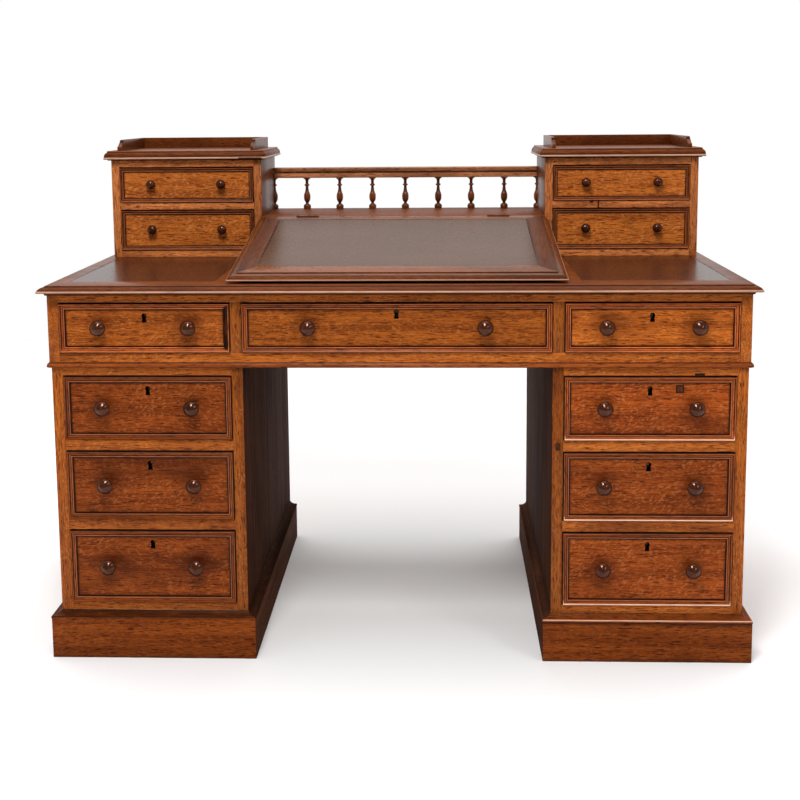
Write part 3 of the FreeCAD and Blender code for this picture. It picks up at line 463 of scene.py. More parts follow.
class Stock(Enum):
    """The finishes on this desk."""

    CARCASS = OakFinish("carcass_oak", (0.23, 0.043, 0.005), (0.60, 0.158, 0.019), (0.66, 0.24, 0.058),
                        (0.088, 0.014, 0.003), fleck_share=0.45, stain_share=0.5)
    FRONT = OakFinish("drawer_front_oak", (0.105, 0.015, 0.002), (0.31, 0.060, 0.007), (0.42, 0.130, 0.036),
                      (0.055, 0.008, 0.002), fleck_share=0.55, stain_share=0.6, handled=True,
                      cast=FRONT_CAST)
    FRIEZE_FRONT = OakFinish("frieze_front_oak", (0.105, 0.019, 0.0025), (0.31, 0.077, 0.009),
                             (0.40, 0.140, 0.032), (0.055, 0.010, 0.002), fleck_share=0.42,
                             stain_share=0.5, handled=True, cast=FRONT_CAST)
    BANK_FRONT = OakFinish("small_drawer_oak", (0.24, 0.047, 0.006), (0.59, 0.160, 0.021),
                           (0.70, 0.26, 0.070), (0.100, 0.017, 0.003), fleck_share=0.6, stain_share=0.45)
    # Greyer than the carcass oak: painted sheen
    BANK = OakFinish("bank_oak", (0.23, 0.052, 0.014), (0.60, 0.190, 0.048), (0.66, 0.27, 0.090),
                     (0.088, 0.018, 0.006), fleck_share=0.45, stain_share=0.5)
    FOOT = OakFinish("plinth_oak", (0.130, 0.023, 0.003), (0.34, 0.074, 0.009), (0.40, 0.118, 0.027),
                     (0.050, 0.007, 0.002), fleck_share=0.4, shine=0.06)
    MOULDING = OakFinish("moulding_oak", (0.20, 0.036, 0.005), (0.38, 0.086, 0.013), (0.42, 0.115, 0.025),
                         (0.085, 0.013, 0.003), fleck_share=0.2, gloss_low=0.22, gloss_high=0.32, shine=0.12)
    NOSING = OakFinish("nosing_oak", (0.100, 0.021, 0.005), (0.185, 0.046, 0.011), (0.24, 0.07, 0.020),
                       (0.055, 0.012, 0.004), fleck_share=0.3, gloss_low=0.34, gloss_high=0.44, shine=0.06,
                       cast=(1.0, 0.68, 0.45))
    # Pale, greyish rail oak, raised above its own colour as painted sheen
    RAIL = OakFinish("spindle_rail_oak", (0.36, 0.130, 0.052), (0.69, 0.270, 0.115), (0.75, 0.34, 0.16),
                     (0.140, 0.044, 0.016), fleck_share=0.3, gloss_low=0.22, gloss_high=0.32, shine=0.3)
    SPINDLE = OakFinish("spindle_oak", (0.110, 0.023, 0.005), (0.260, 0.064, 0.013), (0.32, 0.090, 0.022),
                        (0.050, 0.010, 0.003), fleck_share=0.3, gloss_low=0.2, gloss_high=0.3, shine=0.3)
    TOP = OakFinish("top_oak", (0.080, 0.017, 0.004), (0.165, 0.042, 0.009), (0.21, 0.064, 0.017),
                    (0.050, 0.011, 0.003), fleck_share=0.4, gloss_low=0.26, gloss_high=0.36, shine=0.08,
                    cast=(1.0, 0.78, 0.62))
    LID_RAIL = OakFinish("lid_rail_oak", (0.100, 0.024, 0.006), (0.200, 0.055, 0.012), (0.26, 0.084, 0.024),
                         (0.050, 0.012, 0.004), fleck_share=0.4, gloss_low=0.22, gloss_high=0.32, shine=0.3)
    STILE = OakFinish("lid_stile_oak", (0.060, 0.017, 0.008), (0.105, 0.034, 0.015), (0.14, 0.052, 0.024),
                      (0.030, 0.009, 0.004), fleck_share=0.4, gloss_low=0.34, gloss_high=0.46, shine=0.09)
    SHELF = replace(TOP, name="shelf_oak", gloss_low=0.4, gloss_high=0.52, shine=0.06)
    KNOB = OakFinish("knob_oak", (0.034, 0.007, 0.002), (0.072, 0.016, 0.004), (0.09, 0.022, 0.006),
                     (0.010, 0.003, 0.001), fleck_share=0.1, relief=0.1, gloss_low=0.08, gloss_high=0.11,
                     shine=0.45, cast=(1.0, 0.6, 0.48))
    # Dark, nearly matt oak on the faces round the kneehole: painted shade, where little light reaches
    KNEEHOLE = OakFinish("kneehole_oak", (0.050, 0.015, 0.007), (0.110, 0.040, 0.018), (0.14, 0.058, 0.030),
                         (0.030, 0.010, 0.006), fleck_share=0.2, gloss_low=0.62, gloss_high=0.78, shine=0.01,
                         rub=(0.10, 0.036, 0.018))
    INSIDE = OakFinish("unwaxed_oak", (0.30, 0.15, 0.058), (0.45, 0.25, 0.105), (0.52, 0.32, 0.15),
                       (0.18, 0.08, 0.03), fleck_share=0.4, stain_share=0.35, gloss_low=0.6,
                       gloss_high=0.8, shine=0.2)
    # Near-black on the keyhole's walls: painted shade inside the hole
    SOOT = OakFinish("keyhole_soot", (0.004, 0.003, 0.002), (0.008, 0.005, 0.004), (0.01, 0.006, 0.004),
                     (0.003, 0.002, 0.002), gloss_low=0.8, gloss_high=0.9, shine=0.0)
    LEATHER = LeatherFinish("writing_leather", (0.050, 0.015, 0.0026), (0.062, 0.020, 0.0042))
    DESK_LEATHER = LeatherFinish("desk_leather", (0.030, 0.0060, 0.0019), (0.038, 0.0088, 0.0029))
    BRASS = MetalFinish("aged_brass", (0.15, 0.10, 0.045), (0.035, 0.022, 0.012))
    HINGE = MetalFinish("blackened_brass", (0.125, 0.066, 0.048), (0.100, 0.052, 0.036), 0.55, 0.75)


MATERIALS: dict[Stock, bpy.types.Material] = {}


def material(stock: Stock) -> bpy.types.Material:
    """Gives a finish's material, made the first time it is asked for.

    Args:
        stock: The finish.

    Returns:
        Its material.
    """
    if stock not in MATERIALS:
        MATERIALS[stock] = stock.value.material()
    return MATERIALS[stock]


def arc(start: Point, end: Point, bulge: float, parts: int = 5) -> list[Point]:
    """Gives points on an arc between two points of a profile, without its start.

    Args:
        start: Where the arc starts.
        end: Where it ends.
        bulge: Its rise to the right of the way from start to end, as a share of the chord.
        parts: How many straight parts the arc has.

    Returns:
        The points.
    """
    if not bulge:
        return [end]
    across, up = end[0] - start[0], end[1] - start[1]
    half_turn = 2 * math.atan(2 * bulge)
    points = []
    for number in range(1, parts + 1):
        share = number / parts
        angle = half_turn * (2 * share - 1)
        along = 0.5 + math.sin(angle) / math.sin(half_turn) / 2
        out = (math.cos(angle) - math.cos(half_turn)) / math.sin(half_turn) / 2
        points.append((start[0] + across * along + up * out, start[1] + up * along - across * out))
    return points


@dataclass(frozen=True)
class Moulding:
    """A moulded edge or a turning as shares: reach, height, bulge to the next corner, and dirt and painted
    shade there, or below none pale rub and painted highlight.
    """

    shares: tuple[tuple[float, float, float, float], ...]

    def steps(self, reach: float, base: float, height: float) -> list[Step]:
        """Works the moulding out at its size.

        Args:
            reach: The edge's full reach, or a turning's radius.
            base: Where it starts.
            height: Its full height.

        Returns:
            Reach, height, and dirt and painted shade of each point, lengths in metres.
        """
        corners = [(out * reach, base + up * height) for out, up, bulge, dirt in self.shares]
        steps = [(*corners[0], self.shares[0][3])]
        for number, (out, up, bulge, dirt) in enumerate(self.shares[:-1]):
            points = arc(corners[number], corners[number + 1], bulge)
            next_dirt_and_shade = self.shares[number + 1][3]
            for place, point in enumerate(points, 1):
                steps.append((*point, dirt + (next_dirt_and_shade - dirt) * place / len(points)))
        return steps


# Edges from the bottom up
TOP_EDGE = Moulding((
    (0.35, 0.00, 0, 0.6), (0.35, 0.03, 0, 0.0), (0.35, 0.10, 0, 0.0), (0.36, 0.11, -0.2, 0.6),
    (0.82, 0.26, 0, 0.3), (0.84, 0.27, 0, 1.0), (0.90, 0.28, 0, 1.0), (0.97, 0.30, 0, 0.0),
    (1.00, 0.34, 0, -0.3), (1.00, 0.46, 0, -0.6), (0.96, 0.52, 0, -0.2), (0.94, 0.53, 0.12, 0.4),
    (0.44, 0.88, 0, 0.3), (0.42, 0.89, 0, 1.0), (0.33, 0.90, 0, 1.0), (0.31, 0.98, 0, 0.1),
    (0.30, 1.00, 0, 0.0)))
BANK_TOP_EDGE = Moulding((
    (0.45, 0.00, 0, 0.9), (0.45, 0.08, 0, 0.9), (0.86, 0.10, 0, 1.0), (0.96, 0.12, 0, 0.0),
    (1.00, 0.15, 0, -0.3), (1.00, 0.28, 0, -0.6), (0.95, 0.32, 0, -0.2), (0.92, 0.33, 0.14, 0.5),
    (0.62, 0.80, 0, 0.2), (0.60, 0.82, 0, 0.9), (0.50, 0.83, 0, 0.9), (0.48, 0.97, 0, -0.2),
    (0.46, 1.00, 0, 0.0)))
LID_EDGE = Moulding((
    (0.60, 0.00, 0, 0.9), (0.60, 0.10, 0, 0.9), (0.92, 0.13, 0, 0.7), (0.99, 0.16, 0, 0.0),
    (1.00, 0.20, 0, -0.3), (1.00, 0.30, 0, -0.5), (0.94, 0.37, 0, -0.1), (0.91, 0.38, 0.16, 0.4),
    (0.19, 0.83, 0, 0.3), (0.17, 0.84, 0, 0.8), (0.03, 0.85, 0, 0.8), (0.01, 0.97, 0, 0.0),
    (0.00, 1.00, 0, 0.0)))
PLINTH_EDGES = {
    Side.LEFT: Moulding((
        (0.94, 0.00, 0, 0.6), (0.94, 0.10, 0, 0.30), (0.94, 0.78, 0, 0.10), (0.94, 0.86, 0.18, 0.0),
        (0.94, 0.92, 0, 1.0), (0.83, 0.92, 0, 0.9), (0.80, 0.92, -0.14, 0.75), (0.00, 1.00, 0, 0.9))),
    Side.RIGHT: Moulding((
        (0.94, 0.00, 0, 0.6), (0.94, 0.10, 0, 0.20), (0.94, 0.78, 0, 0.25), (0.94, 0.86, 0.18, 0.95),
        (0.94, 0.92, 0, -0.9), (0.83, 0.92, 0, 0.8), (0.80, 0.92, -0.14, 0.15), (0.00, 1.00, 0, 0.5)))}
BEAD_EDGE = Moulding((
    (0.00, 0.00, 0, 1.0), (0.40, 0.04, 0, 1.0), (0.50, 0.10, 0.3, 0.5), (1.00, 0.50, 0.2, 0.0),
    (0.70, 0.80, 0, 0.0), (0.56, 0.88, 0, 0.9), (0.30, 0.98, 0, 1.0), (0.00, 1.00, 0, 1.0)))
# Turned pieces from the foot on
KNOB_TURNING = Moulding((
    (0.56, 0.00, -0.12, 0.9), (0.48, 0.22, -0.2, 0.7), (0.86, 0.46, 0.25, 0.2), (0.93, 0.66, 0.07, 0.0),
    (0.02, 1.00, 0, 0.0)))
SMALL_KNOB_TURNING = Moulding((
    (0.56, 0.00, -0.1, 0.9), (0.48, 0.20, -0.12, 0.7), (0.86, 0.44, 0.22, 0.2), (0.90, 0.72, 0.16, 0.0),
    (0.03, 1.00, 0, 0.0)))
SPINDLE_TURNING = Moulding((
    (1.00, 0.00, 0, 0.7), (1.00, 0.035, 0.22, 0.2), (0.48, 0.16, -0.15, 0.8), (0.46, 0.21, 0.1, 0.7),
    (0.90, 0.36, 0.08, 0.1), (0.60, 0.54, -0.03, 0.2), (0.38, 0.73, 0, 0.7), (0.62, 0.75, 0.3, 0.2),
    (0.62, 0.79, 0, 0.2), (0.40, 0.81, -0.04, 0.8), (0.42, 0.85, -0.2, 0.7), (1.00, 0.98, 0, 0.3),
    (1.00, 1.00, 0, 0.6)))


def corners_of(node: str) -> list[Vector]:
    """Gives the places of a solid's corners."""
    return [vertex.co for vertex in frame["nodes"][node].data.vertices]


def span(corners: np.ndarray) -> Span:
    """Gives the lowest and the highest corner of some corners."""
    return Vector(corners.min(axis=0)), Vector(corners.max(axis=0))


def boards_of(node: str, last: int = 0) -> list[Span]:
    """Gives the spans of a solid's square boards, in the order they were made.

    Args:
        node: The solid.
        last: How many boards to take from the end, or none for all.

    Returns:
        The lowest and highest corner of each board.
    """
    corners = np.array(corners_of(node))[-last * CORNERS_PER_BOARD:]
    return [span(board) for board in corners.reshape(-1, CORNERS_PER_BOARD, 3)]


def first_board(node: str) -> Span:
    """Gives the span of a solid's first board, where only that one has to be square."""
    return span(np.array(corners_of(node))[:CORNERS_PER_BOARD])


def halves(places: Sequence[Vector]) -> list[Span]:
    """Gives the spans of what lies left and right of the desk's middle.

    Args:
        places: Corners on both sides.

    Returns:
        The lowest and highest corner of each half, left half first.
    """
    corners = np.array(places)
    return [span(corners[corners[:, 0] * side.value > 0]) for side in Side]


def longest(low: Vector, high: Vector) -> Grain:
    """Gives the grain of a plain board, along its longest side.

    Args:
        low: The board's lowest corner.
        high: Its highest corner.

    Returns:
        The grain.
    """
    size = high - low
    return max(Grain, key=lambda grain: size[grain.value[0]])


class Bench:
    """One mesh on the workbench. Its faces remember which board they belong to."""

    def __init__(self, name: str) -> None:
        """Lays an empty mesh on the bench and opens it for editing.

        Args:
            name: The finished piece's name.
        """
        bpy.ops.object.select_all(action="DESELECT")
        bpy.ops.object.add(type="MESH")
        self.piece = bpy.context.object
        self.piece.name = name
        self.piece.data.name = name
        self.grains: list[Grain] = []
        self.counts: list[int] = []
        bpy.ops.object.mode_set(mode="EDIT")

    def clear(self) -> None:
        """Deselects everything that is on the bench."""
        bpy.ops.mesh.select_all(action="DESELECT")

    def mark(self, grain: Grain) -> None:
        """Notes that the faces made since the last mark are one board."""
        self.counts.append(len(bmesh.from_edit_mesh(self.piece.data).faces))
        self.grains.append(grain)

    def choose(self, wanted: Callable[[Vector], bool]) -> None:
        """Selects the corners among those now selected that are wanted.

        Args:
            wanted: Says whether a corner at a place stays selected.
        """
        mesh = bmesh.from_edit_mesh(self.piece.data)
        for vertex in mesh.verts:
            vertex.select = vertex.select and wanted(vertex.co)
        mesh.select_flush(False)
        bmesh.update_edit_mesh(self.piece.data)

    def choose_face(self, normal: Vector) -> None:
        """Selects, among the faces now selected, those that look one way.

        Args:
            normal: The way they look.
        """
        mesh = bmesh.from_edit_mesh(self.piece.data)
        chosen = [face for face in mesh.faces if face.select and face.normal.dot(normal) > ALIKE]
        for vertex in mesh.verts:
            vertex.select = False
        mesh.select_flush(False)
        for face in chosen:
            face.select_set(True)
        bmesh.update_edit_mesh(self.piece.data)

    def board(self, low: Vector, high: Vector, grain: Optional[Grain] = None) -> None:
        """Adds a square board.

        Args:
            low: Its lowest corner.
            high: Its highest corner.
            grain: The way of its fibres, or none for its longest side.
        """
        low, high = Vector(low), Vector(high)
        self.clear()
        bpy.ops.mesh.primitive_cube_add(size=1, location=(low + high) / 2, scale=high - low)
        self.mark(grain or longest(low, high))

    def skin(self, low: Vector, high: Vector) -> None:
        """Adds a thin leather with a darker line round its edge, painted shade of the gap beside it.

        Args:
            low: Its lowest corner.
            high: Its highest corner.
        """
        self.board(low, high)
        self.soil(SKIN_EDGE_SHADE)
        self.choose_face(UPWARDS)
        for width, dirt in SKIN_BORDER:
            bpy.ops.mesh.inset(thickness=width * MM, depth=0)
            self.soil(dirt)
        self.recount()

    def moulded(self, middle: float, half: float, front: float, back: float, steps: Sequence[Step],
                grain: Grain) -> None:
        """Builds up a board from its underside, with a moulded front and sides.

        Args:
            middle: The X of its middle.
            half: Half the width of what lies under it.
            front: The Y of the face under its front edge.
            back: The Y of its plain back.
            steps: The edge's reach and height, from the bottom up.
            grain: The way of its fibres.
        """
        reach, level, dirt = steps[0]
        self.clear()
        centre = Vector((middle, (front - reach + back) / 2, level))
        bpy.ops.mesh.primitive_plane_add(size=1, location=centre)
        bpy.ops.transform.resize(value=(2 * (half + reach), back - front + reach, 1), center_override=centre)
        self.soil(dirt)
        for (reach, level, dirt), (next_reach, next_level, next_dirt_and_shade) in zip(steps, steps[1:]):
            bpy.ops.mesh.extrude_region_move(TRANSFORM_OT_translate={"value": (0, 0, next_level - level)})
            wider = (half + next_reach) / (half + reach)
            deeper = (back - front + next_reach) / (back - front + reach)
            bpy.ops.transform.resize(value=(wider, deeper, 1), center_override=(middle, back, next_level))
            self.soil(next_dirt_and_shade)
        self.mark(grain)

    def turned(self, foot: Vector, axis: Grain, way: float, steps: Sequence[Step], sides: int = 32) -> None:
        """Turns a round piece up from its foot.

        Args:
            foot: The middle of its foot.
            axis: The axis it is turned about.
            way: Plus or minus one, the way it grows along the axis.
            steps: Radius and height, from the foot on.
            sides: How many sides it has.
        """
        direction = Vector((0, 0, 0))
        direction[axis.value[0]] = way
        radius, level, dirt = steps[0]
        self.clear()
        bpy.ops.mesh.primitive_circle_add(vertices=sides, radius=radius, fill_type="NGON",
                                          location=Vector(foot) + direction * level,
                                          rotation=direction.to_track_quat("Z", "Y").to_euler())
        self.soil(dirt)
        for (radius, level, dirt), (next_radius, next_level, next_dirt_and_shade) in zip(steps, steps[1:]):
            move = direction * (next_level - level)
            bpy.ops.mesh.extrude_region_move(TRANSFORM_OT_translate={"value": move})
            share = next_radius / radius
            bpy.ops.transform.resize(value=(share, share, share),
                                     center_override=Vector(foot) + direction * next_level)
            self.soil(next_dirt_and_shade)
        bpy.ops.mesh.select_linked()
        self.mark(axis)

    def repeat(self, move: Vector) -> None:
        """Copies what is selected, as one more board of the same grain.

        Args:
            move: How far the copy lies from it.
        """
        bpy.ops.mesh.duplicate_move(TRANSFORM_OT_translate={"value": move})
        self.mark(self.grains[-1])

    def slice(self, place: Vector, normal: Vector) -> None:
        """Saws what is selected along a plane and closes the cut.

        Args:
            place: A point on the plane.
            normal: The plane's normal, to the side that falls away.
        """
        bpy.ops.mesh.bisect(plane_co=place, plane_no=normal, use_fill=True, clear_outer=True)
        self.recount()

    def recount(self) -> None:
        """Counts the faces of the last board again, after it was shaped."""
        self.counts[-1] = len(bmesh.from_edit_mesh(self.piece.data).faces)

    def soil(self, dirt: float) -> None:
        """Marks how much old wax, dirt and painted shade lies on the corners that are selected.

        Args:
            dirt: From none, 0, to full, 1, or below none for an edge that is rubbed pale and painted with a
                highlight.
        """
        mesh = bmesh.from_edit_mesh(self.piece.data)
        layer = mesh.verts.layers.float.get("dirt") or mesh.verts.layers.float.new("dirt")
        for vertex in mesh.verts:
            if vertex.select:
                vertex[layer] = dirt
        bmesh.update_edit_mesh(self.piece.data)

    def close(self) -> bpy.types.Object:
        """Turns all faces outwards and leaves edit mode, with each face's board noted on it.

        Returns:
            The piece.
        """
        bpy.ops.mesh.select_all(action="SELECT")
        bpy.ops.mesh.normals_make_consistent(inside=False)
        bpy.ops.object.mode_set(mode="OBJECT")
        numbers = np.zeros(len(self.piece.data.polygons), np.int32)
        starts = [0] + self.counts[:-1]
        for number, (start, end) in enumerate(zip(starts, self.counts)):
            numbers[start:end] = number
        note = self.piece.data.attributes.new("board", "INT", "FACE")
        note.data.foreach_set("value", numbers)
        return self.piece


def apply(piece: bpy.types.Object, kind: str, **settings: object) -> None:
    """Adds a modifier to a piece and applies it.

    Args:
        piece: The piece.
        kind: The modifier's type.
        **settings: Its settings.
    """
    bpy.ops.object.select_all(action="DESELECT")
    bpy.context.view_layer.objects.active = piece
    piece.select_set(True)
    modifier = piece.modifiers.new(kind.lower(), kind)
    for name, value in settings.items():
        setattr(modifier, name, value)
    bpy.ops.object.modifier_apply(modifier=modifier.name)


def carve(piece: bpy.types.Object, cutters: Sequence[bpy.types.Object]) -> None:
    """Cuts the shapes of other pieces out of a piece, and throws the cutters away.

    Args:
        piece: The piece to cut.
        cutters: What to cut away.
    """
    for cutter in cutters:
        apply(piece, "BOOLEAN", operation="DIFFERENCE", object=cutter, solver="EXACT")
        bpy.data.objects.remove(cutter)


def block(low: Vector, high: Vector) -> bpy.types.Object:
    """Makes a plain block to cut with.

    Args:
        low: Its lowest corner.
        high: Its highest corner.

    Returns:
        The block.
    """
    bench = Bench("cutter")
    bench.board(low, high)
    return bench.close()


def smooth(angle: float) -> None:
    """Smooths the shading of the piece at hand, apart from corners sharper than an angle in degrees."""
    bpy.ops.object.shade_smooth_by_angle(angle=math.radians(angle))


def ease(piece: bpy.types.Object, width: float, segments: int = 2, angle: float = 35.0) -> None:
    """Rounds a piece's sharp edges, as wear and wax do, and smooths its shading.

    Args:
        piece: The piece.
        width: Width of the rounding.
        segments: Parts of the rounding.
        angle: The flattest corner to round, in degrees.
    """
    apply(piece, "BEVEL", width=width, segments=segments, limit_method="ANGLE",
          angle_limit=math.radians(angle), harden_normals=False)
    smooth(EASED_CORNER)


def lay_grain(piece: bpy.types.Object, grains: Sequence[Grain],
              sort: Optional[Callable[[Vector, Vector], int]] = None) -> None:
    """Gives each board of a piece its own place in the log, with the fibres along it.

    Args:
        piece: The piece, at the origin.
        grains: The grain of each board.
        sort: Tells a face's board from its centre and normal, in place of what the bench noted.
    """
    mesh = piece.data
    numbers = np.zeros(len(mesh.polygons), np.int32)
    if sort:
        numbers[:] = [sort(face.center, face.normal) for face in mesh.polygons]
    else:
        mesh.attributes["board"].data.foreach_get("value", numbers)
    totals = np.zeros(len(mesh.polygons), np.int32)
    mesh.polygons.foreach_get("loop_total", totals)
    corners = np.zeros(len(mesh.loops), np.int32)
    mesh.loops.foreach_get("vertex_index", corners)
    places = np.zeros(len(mesh.vertices) * 3, np.float32)
    mesh.vertices.foreach_get("co", places)
    places = places.reshape(-1, 3)[corners]
    owners = np.repeat(numbers, totals)
    log_places = np.zeros_like(places)
    luck = random.Random(piece.name)
    for number, grain in enumerate(grains):
        shift = [luck.uniform(-LOG_REACH, LOG_REACH) for axis in range(3)]
        mine = owners == number
        log_places[mine] = places[mine][:, list(grain.value)] + shift
    if "grain" in mesh.attributes:
        mesh.attributes.remove(mesh.attributes["grain"])
    note = mesh.attributes.new("grain", "FLOAT_VECTOR", "CORNER")
    note.data.foreach_set("vector", log_places.ravel())


def shade(piece: bpy.types.Object, tone: Callable[[Vector, int], float]) -> None:
    """Makes a piece's wood lighter or darker, board by board.

    Args:
        piece: The piece.
        tone: Gives the share that is added to the colour from a face's centre and its board's number.
    """
    marks = piece.data.attributes
    note = marks.get("tone") or marks.new("tone", "FLOAT", "POINT")
    numbers = [number.value for number in marks["board"].data]
    for face, number in zip(piece.data.polygons, numbers):
        share = tone(face.center, number)
        for corner in face.vertices:
            note.data[corner].value = share


def dress(piece: bpy.types.Object, stocks: Sequence[Stock], body: str, nodes: Sequence[str],
          sort: Optional[Callable[[Vector, Vector], int]] = None) -> bpy.types.Object:
    """Gives a piece its finishes, its body and the solids it stands for.

    Args:
        piece: The piece.
        stocks: Its finishes.
        body: The body it moves with.
        nodes: The solids it stands for.
        sort: Tells which finish a face takes from its centre and normal.

    Returns:
        The piece.
    """
    piece.data.materials.clear()
    for stock in stocks:
        piece.data.materials.append(material(stock))
    if sort:
        for face in piece.data.polygons:
            face.material_index = sort(face.center, face.normal)
    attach(piece, body)
    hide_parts(*nodes)
    log.info("%s: %d faces", piece.name, len(piece.data.polygons))
    return piece


def edge_finish(centre: Vector, normal: Vector) -> int:
    """Gives 0 for a board's flat top and underside and 1 for its moulded edge."""
    return int(abs(normal.z) < FLAT_TOP and abs(normal.y) < PLAIN_BACK)


def copy_piece(piece: bpy.types.Object, name: str, move: Vector) -> bpy.types.Object:
    """Copies a finished piece with a mesh of its own.

    Args:
        piece: The piece to copy.
        name: The copy's name.
        move: How far the copy lies from the piece.

    Returns:
        The copy, not riding on anything yet.
    """
    copy = bpy.data.objects.new(name, piece.data.copy())
    copy.data.name = name
    copy.data.transform(Matrix.Translation(move))
    bpy.context.scene.collection.objects.link(copy)
    return copy


def mitred(low: Vector, high: Vector, axes: tuple[int, int]) -> Callable[[Vector, Vector], int]:
    """Tells the members of a mitred frame apart.

    Args:
        low: The frame's lowest corner.
        high: Its highest corner.
        axes: The two axes that the frame lies in.

    Returns:
        A function that gives 0 for the members along the first axis and 1 and 2 for the others.
    """
    first, second = axes

    def member(centre: Vector, normal: Vector) -> int:
        """Gives the number of the member that a face lies on."""
        to_low, to_high = centre[first] - low[first], high[first] - centre[first]
        to_rail = min(centre[second] - low[second], high[second] - centre[second])
        if min(to_low, to_high) > to_rail:
            return 0
        return 1 if to_low < to_high else 2
    return member


@dataclass(frozen=True)
class Chip:
    """A dark scar on a front: middle, width and height, in millimetres."""

    x: float
    z: float
    width: float
    height: float
    proud: float = 0.12

    def lay(self, bench: Bench, front: float) -> None:
        """Lays the scar on a front.

        Args:
            bench: The bench that the front lies on.
            front: The Y of the front.
        """
        half = Vector((self.width, 0, self.height)) * MM / 2
        middle = Vector((self.x * MM, front, self.z * MM))
        proud = Vector((0, self.proud * MM, 0))
        bench.board(middle - half - proud, middle + half - proud / 6)
        bench.soil(1.0)
        bpy.ops.mesh.bevel(offset=min(self.width, self.height) * MM / 5, segments=2, affect="EDGES")
        bench.recount()


@dataclass
class Pedestal:
    """A pedestal's carcass and rails with its plinth."""

    side: Side
    plinth_ease: float = 0.8 * MM
    # Darkens the faces of the pedestal's inner half, among them the kneehole faces, where it is painted shade
    inner_tone: float = -0.36
    outer_tone: float = -0.10
    chips: tuple[Chip, ...] = ()

    def build(self) -> None:
        """Builds the carcass, the rails with the runners, and the plinth."""
        name = f"pedestal_{self.side.word}"
        carcass = Bench(f"{name}_boards")
        for low, high in boards_of(f"{name}_carcass"):
            standing = high.z - low.z > (high.y - low.y) / 2
            carcass.board(low, high, Grain.Z if standing else Grain.X)
        inner = min(abs(corner.x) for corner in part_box(f"{name}_carcass"))
        self.finish(carcass, f"{name}_carcass", inner)
        rails = Bench(f"{name}_rails")
        for low, high in boards_of(f"{name}_rails_and_runners"):
            rails.board(low, high)
        for chip in self.chips:
            chip.lay(rails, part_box(f"{name}_rails_and_runners")[0].y)
        self.finish(rails, f"{name}_rails_and_runners", 0.0)
        self.build_plinth(f"{name}_plinth")

    def finish(self, bench: Bench, node: str, inner: float) -> None:
        """Eases and dresses the boards on a bench.

        Args:
            bench: The bench.
            node: The solid that they stand for.
            inner: How far the kneehole's face is from the desk's middle.
        """
        piece = bench.close()
        ease(piece, ARRIS)
        lay_grain(piece, bench.grains)
        if inner:
            middle = sum(abs(corner.x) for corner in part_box(node)) / 2
            shade(piece, lambda centre, number: self.inner_tone
                  if abs(centre.x) < middle else self.outer_tone)
        dress(piece, [Stock.CARCASS, Stock.KNEEHOLE], "desk", [node],
              lambda centre, normal: int(abs(centre.x) < inner + ARRIS / 4))

    def build_plinth(self, node: str) -> None:
        """Builds the moulded boards round the foot, mitred at the front.

        Args:
            node: The plinth's solid.
        """
        foot_low, foot_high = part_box(node)
        low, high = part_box(f"pedestal_{self.side.word}_carcass")
        middle = (low.x + high.x) / 2
        half = (high.x - low.x) / 2
        reach = low.x - foot_low.x
        bench = Bench(f"{node}_boards")
        steps = PLINTH_EDGES[self.side].steps(reach, 0.0, foot_high.z)
        bench.moulded(middle, half, low.y, high.y, steps, Grain.X)
        piece = bench.close()
        slack = Vector((0, reach, reach))
        carve(piece, [block(low - Vector((0, 0, reach)), high + slack)])
        ease(piece, self.plinth_ease)
        back = Vector((foot_high.x, 2 * foot_high.y - foot_low.y, foot_high.z))
        sort = mitred(foot_low, back, (0, 1))
        lay_grain(piece, [Grain.X, Grain.Y, Grain.Y], sort)
        inner = min(abs(low.x), abs(high.x))
        dress(piece, [Stock.FOOT, Stock.KNEEHOLE], "desk", [node],
              lambda centre, normal: int(abs(centre.x) < inner))


@dataclass
class Frieze:
    """The frieze under the desktop and the bead round its foot."""

    muntin_tone: float = -0.36

    def build(self) -> None:
        """Builds ends, partitions, back, rails, muntins, runners and bead."""
        for node, name in (("frieze_carcass", "frieze_boards"), ("frieze_rails", "frieze_front_rails"),
                           ("frieze_runners", "frieze_drawer_runners")):
            bench = Bench(name)
            for low, high in boards_of(node):
                bench.board(low, high)
            piece = bench.close()
            ease(piece, ARRIS)
            lay_grain(piece, bench.grains)
            shade(piece, lambda centre, number: self.muntin_tone * (bench.grains[number] is Grain.Z))
            dress(piece, [Stock.INSIDE if node == "frieze_runners" else Stock.CARCASS], "desk", [node])
        self.build_bead()

    def build_bead(self) -> None:
        """Builds the half-round bead, mitred at the front corners."""
        bead_low, bead_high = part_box("waist_bead")
        low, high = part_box("frieze_carcass")
        reach = low.x - bead_low.x
        height = bead_high.z - bead_low.z
        bench = Bench("waist_bead_strips")
        steps = BEAD_EDGE.steps(reach, bead_low.z, height)
        bench.moulded(0.0, high.x, low.y, high.y, steps, Grain.X)
        piece = bench.close()
        slack = Vector((0, height, height))
        carve(piece, [block(low - Vector((0, 0, height)), high + slack)])
        smooth(EASED_CORNER)
        back = Vector((bead_high.x, 2 * bead_high.y - bead_low.y, bead_high.z))
        lay_grain(piece, [Grain.X, Grain.Y, Grain.Y], mitred(bead_low, back, (0, 1)))
        dress(piece, [Stock.MOULDING], "desk", ["waist_bead"])


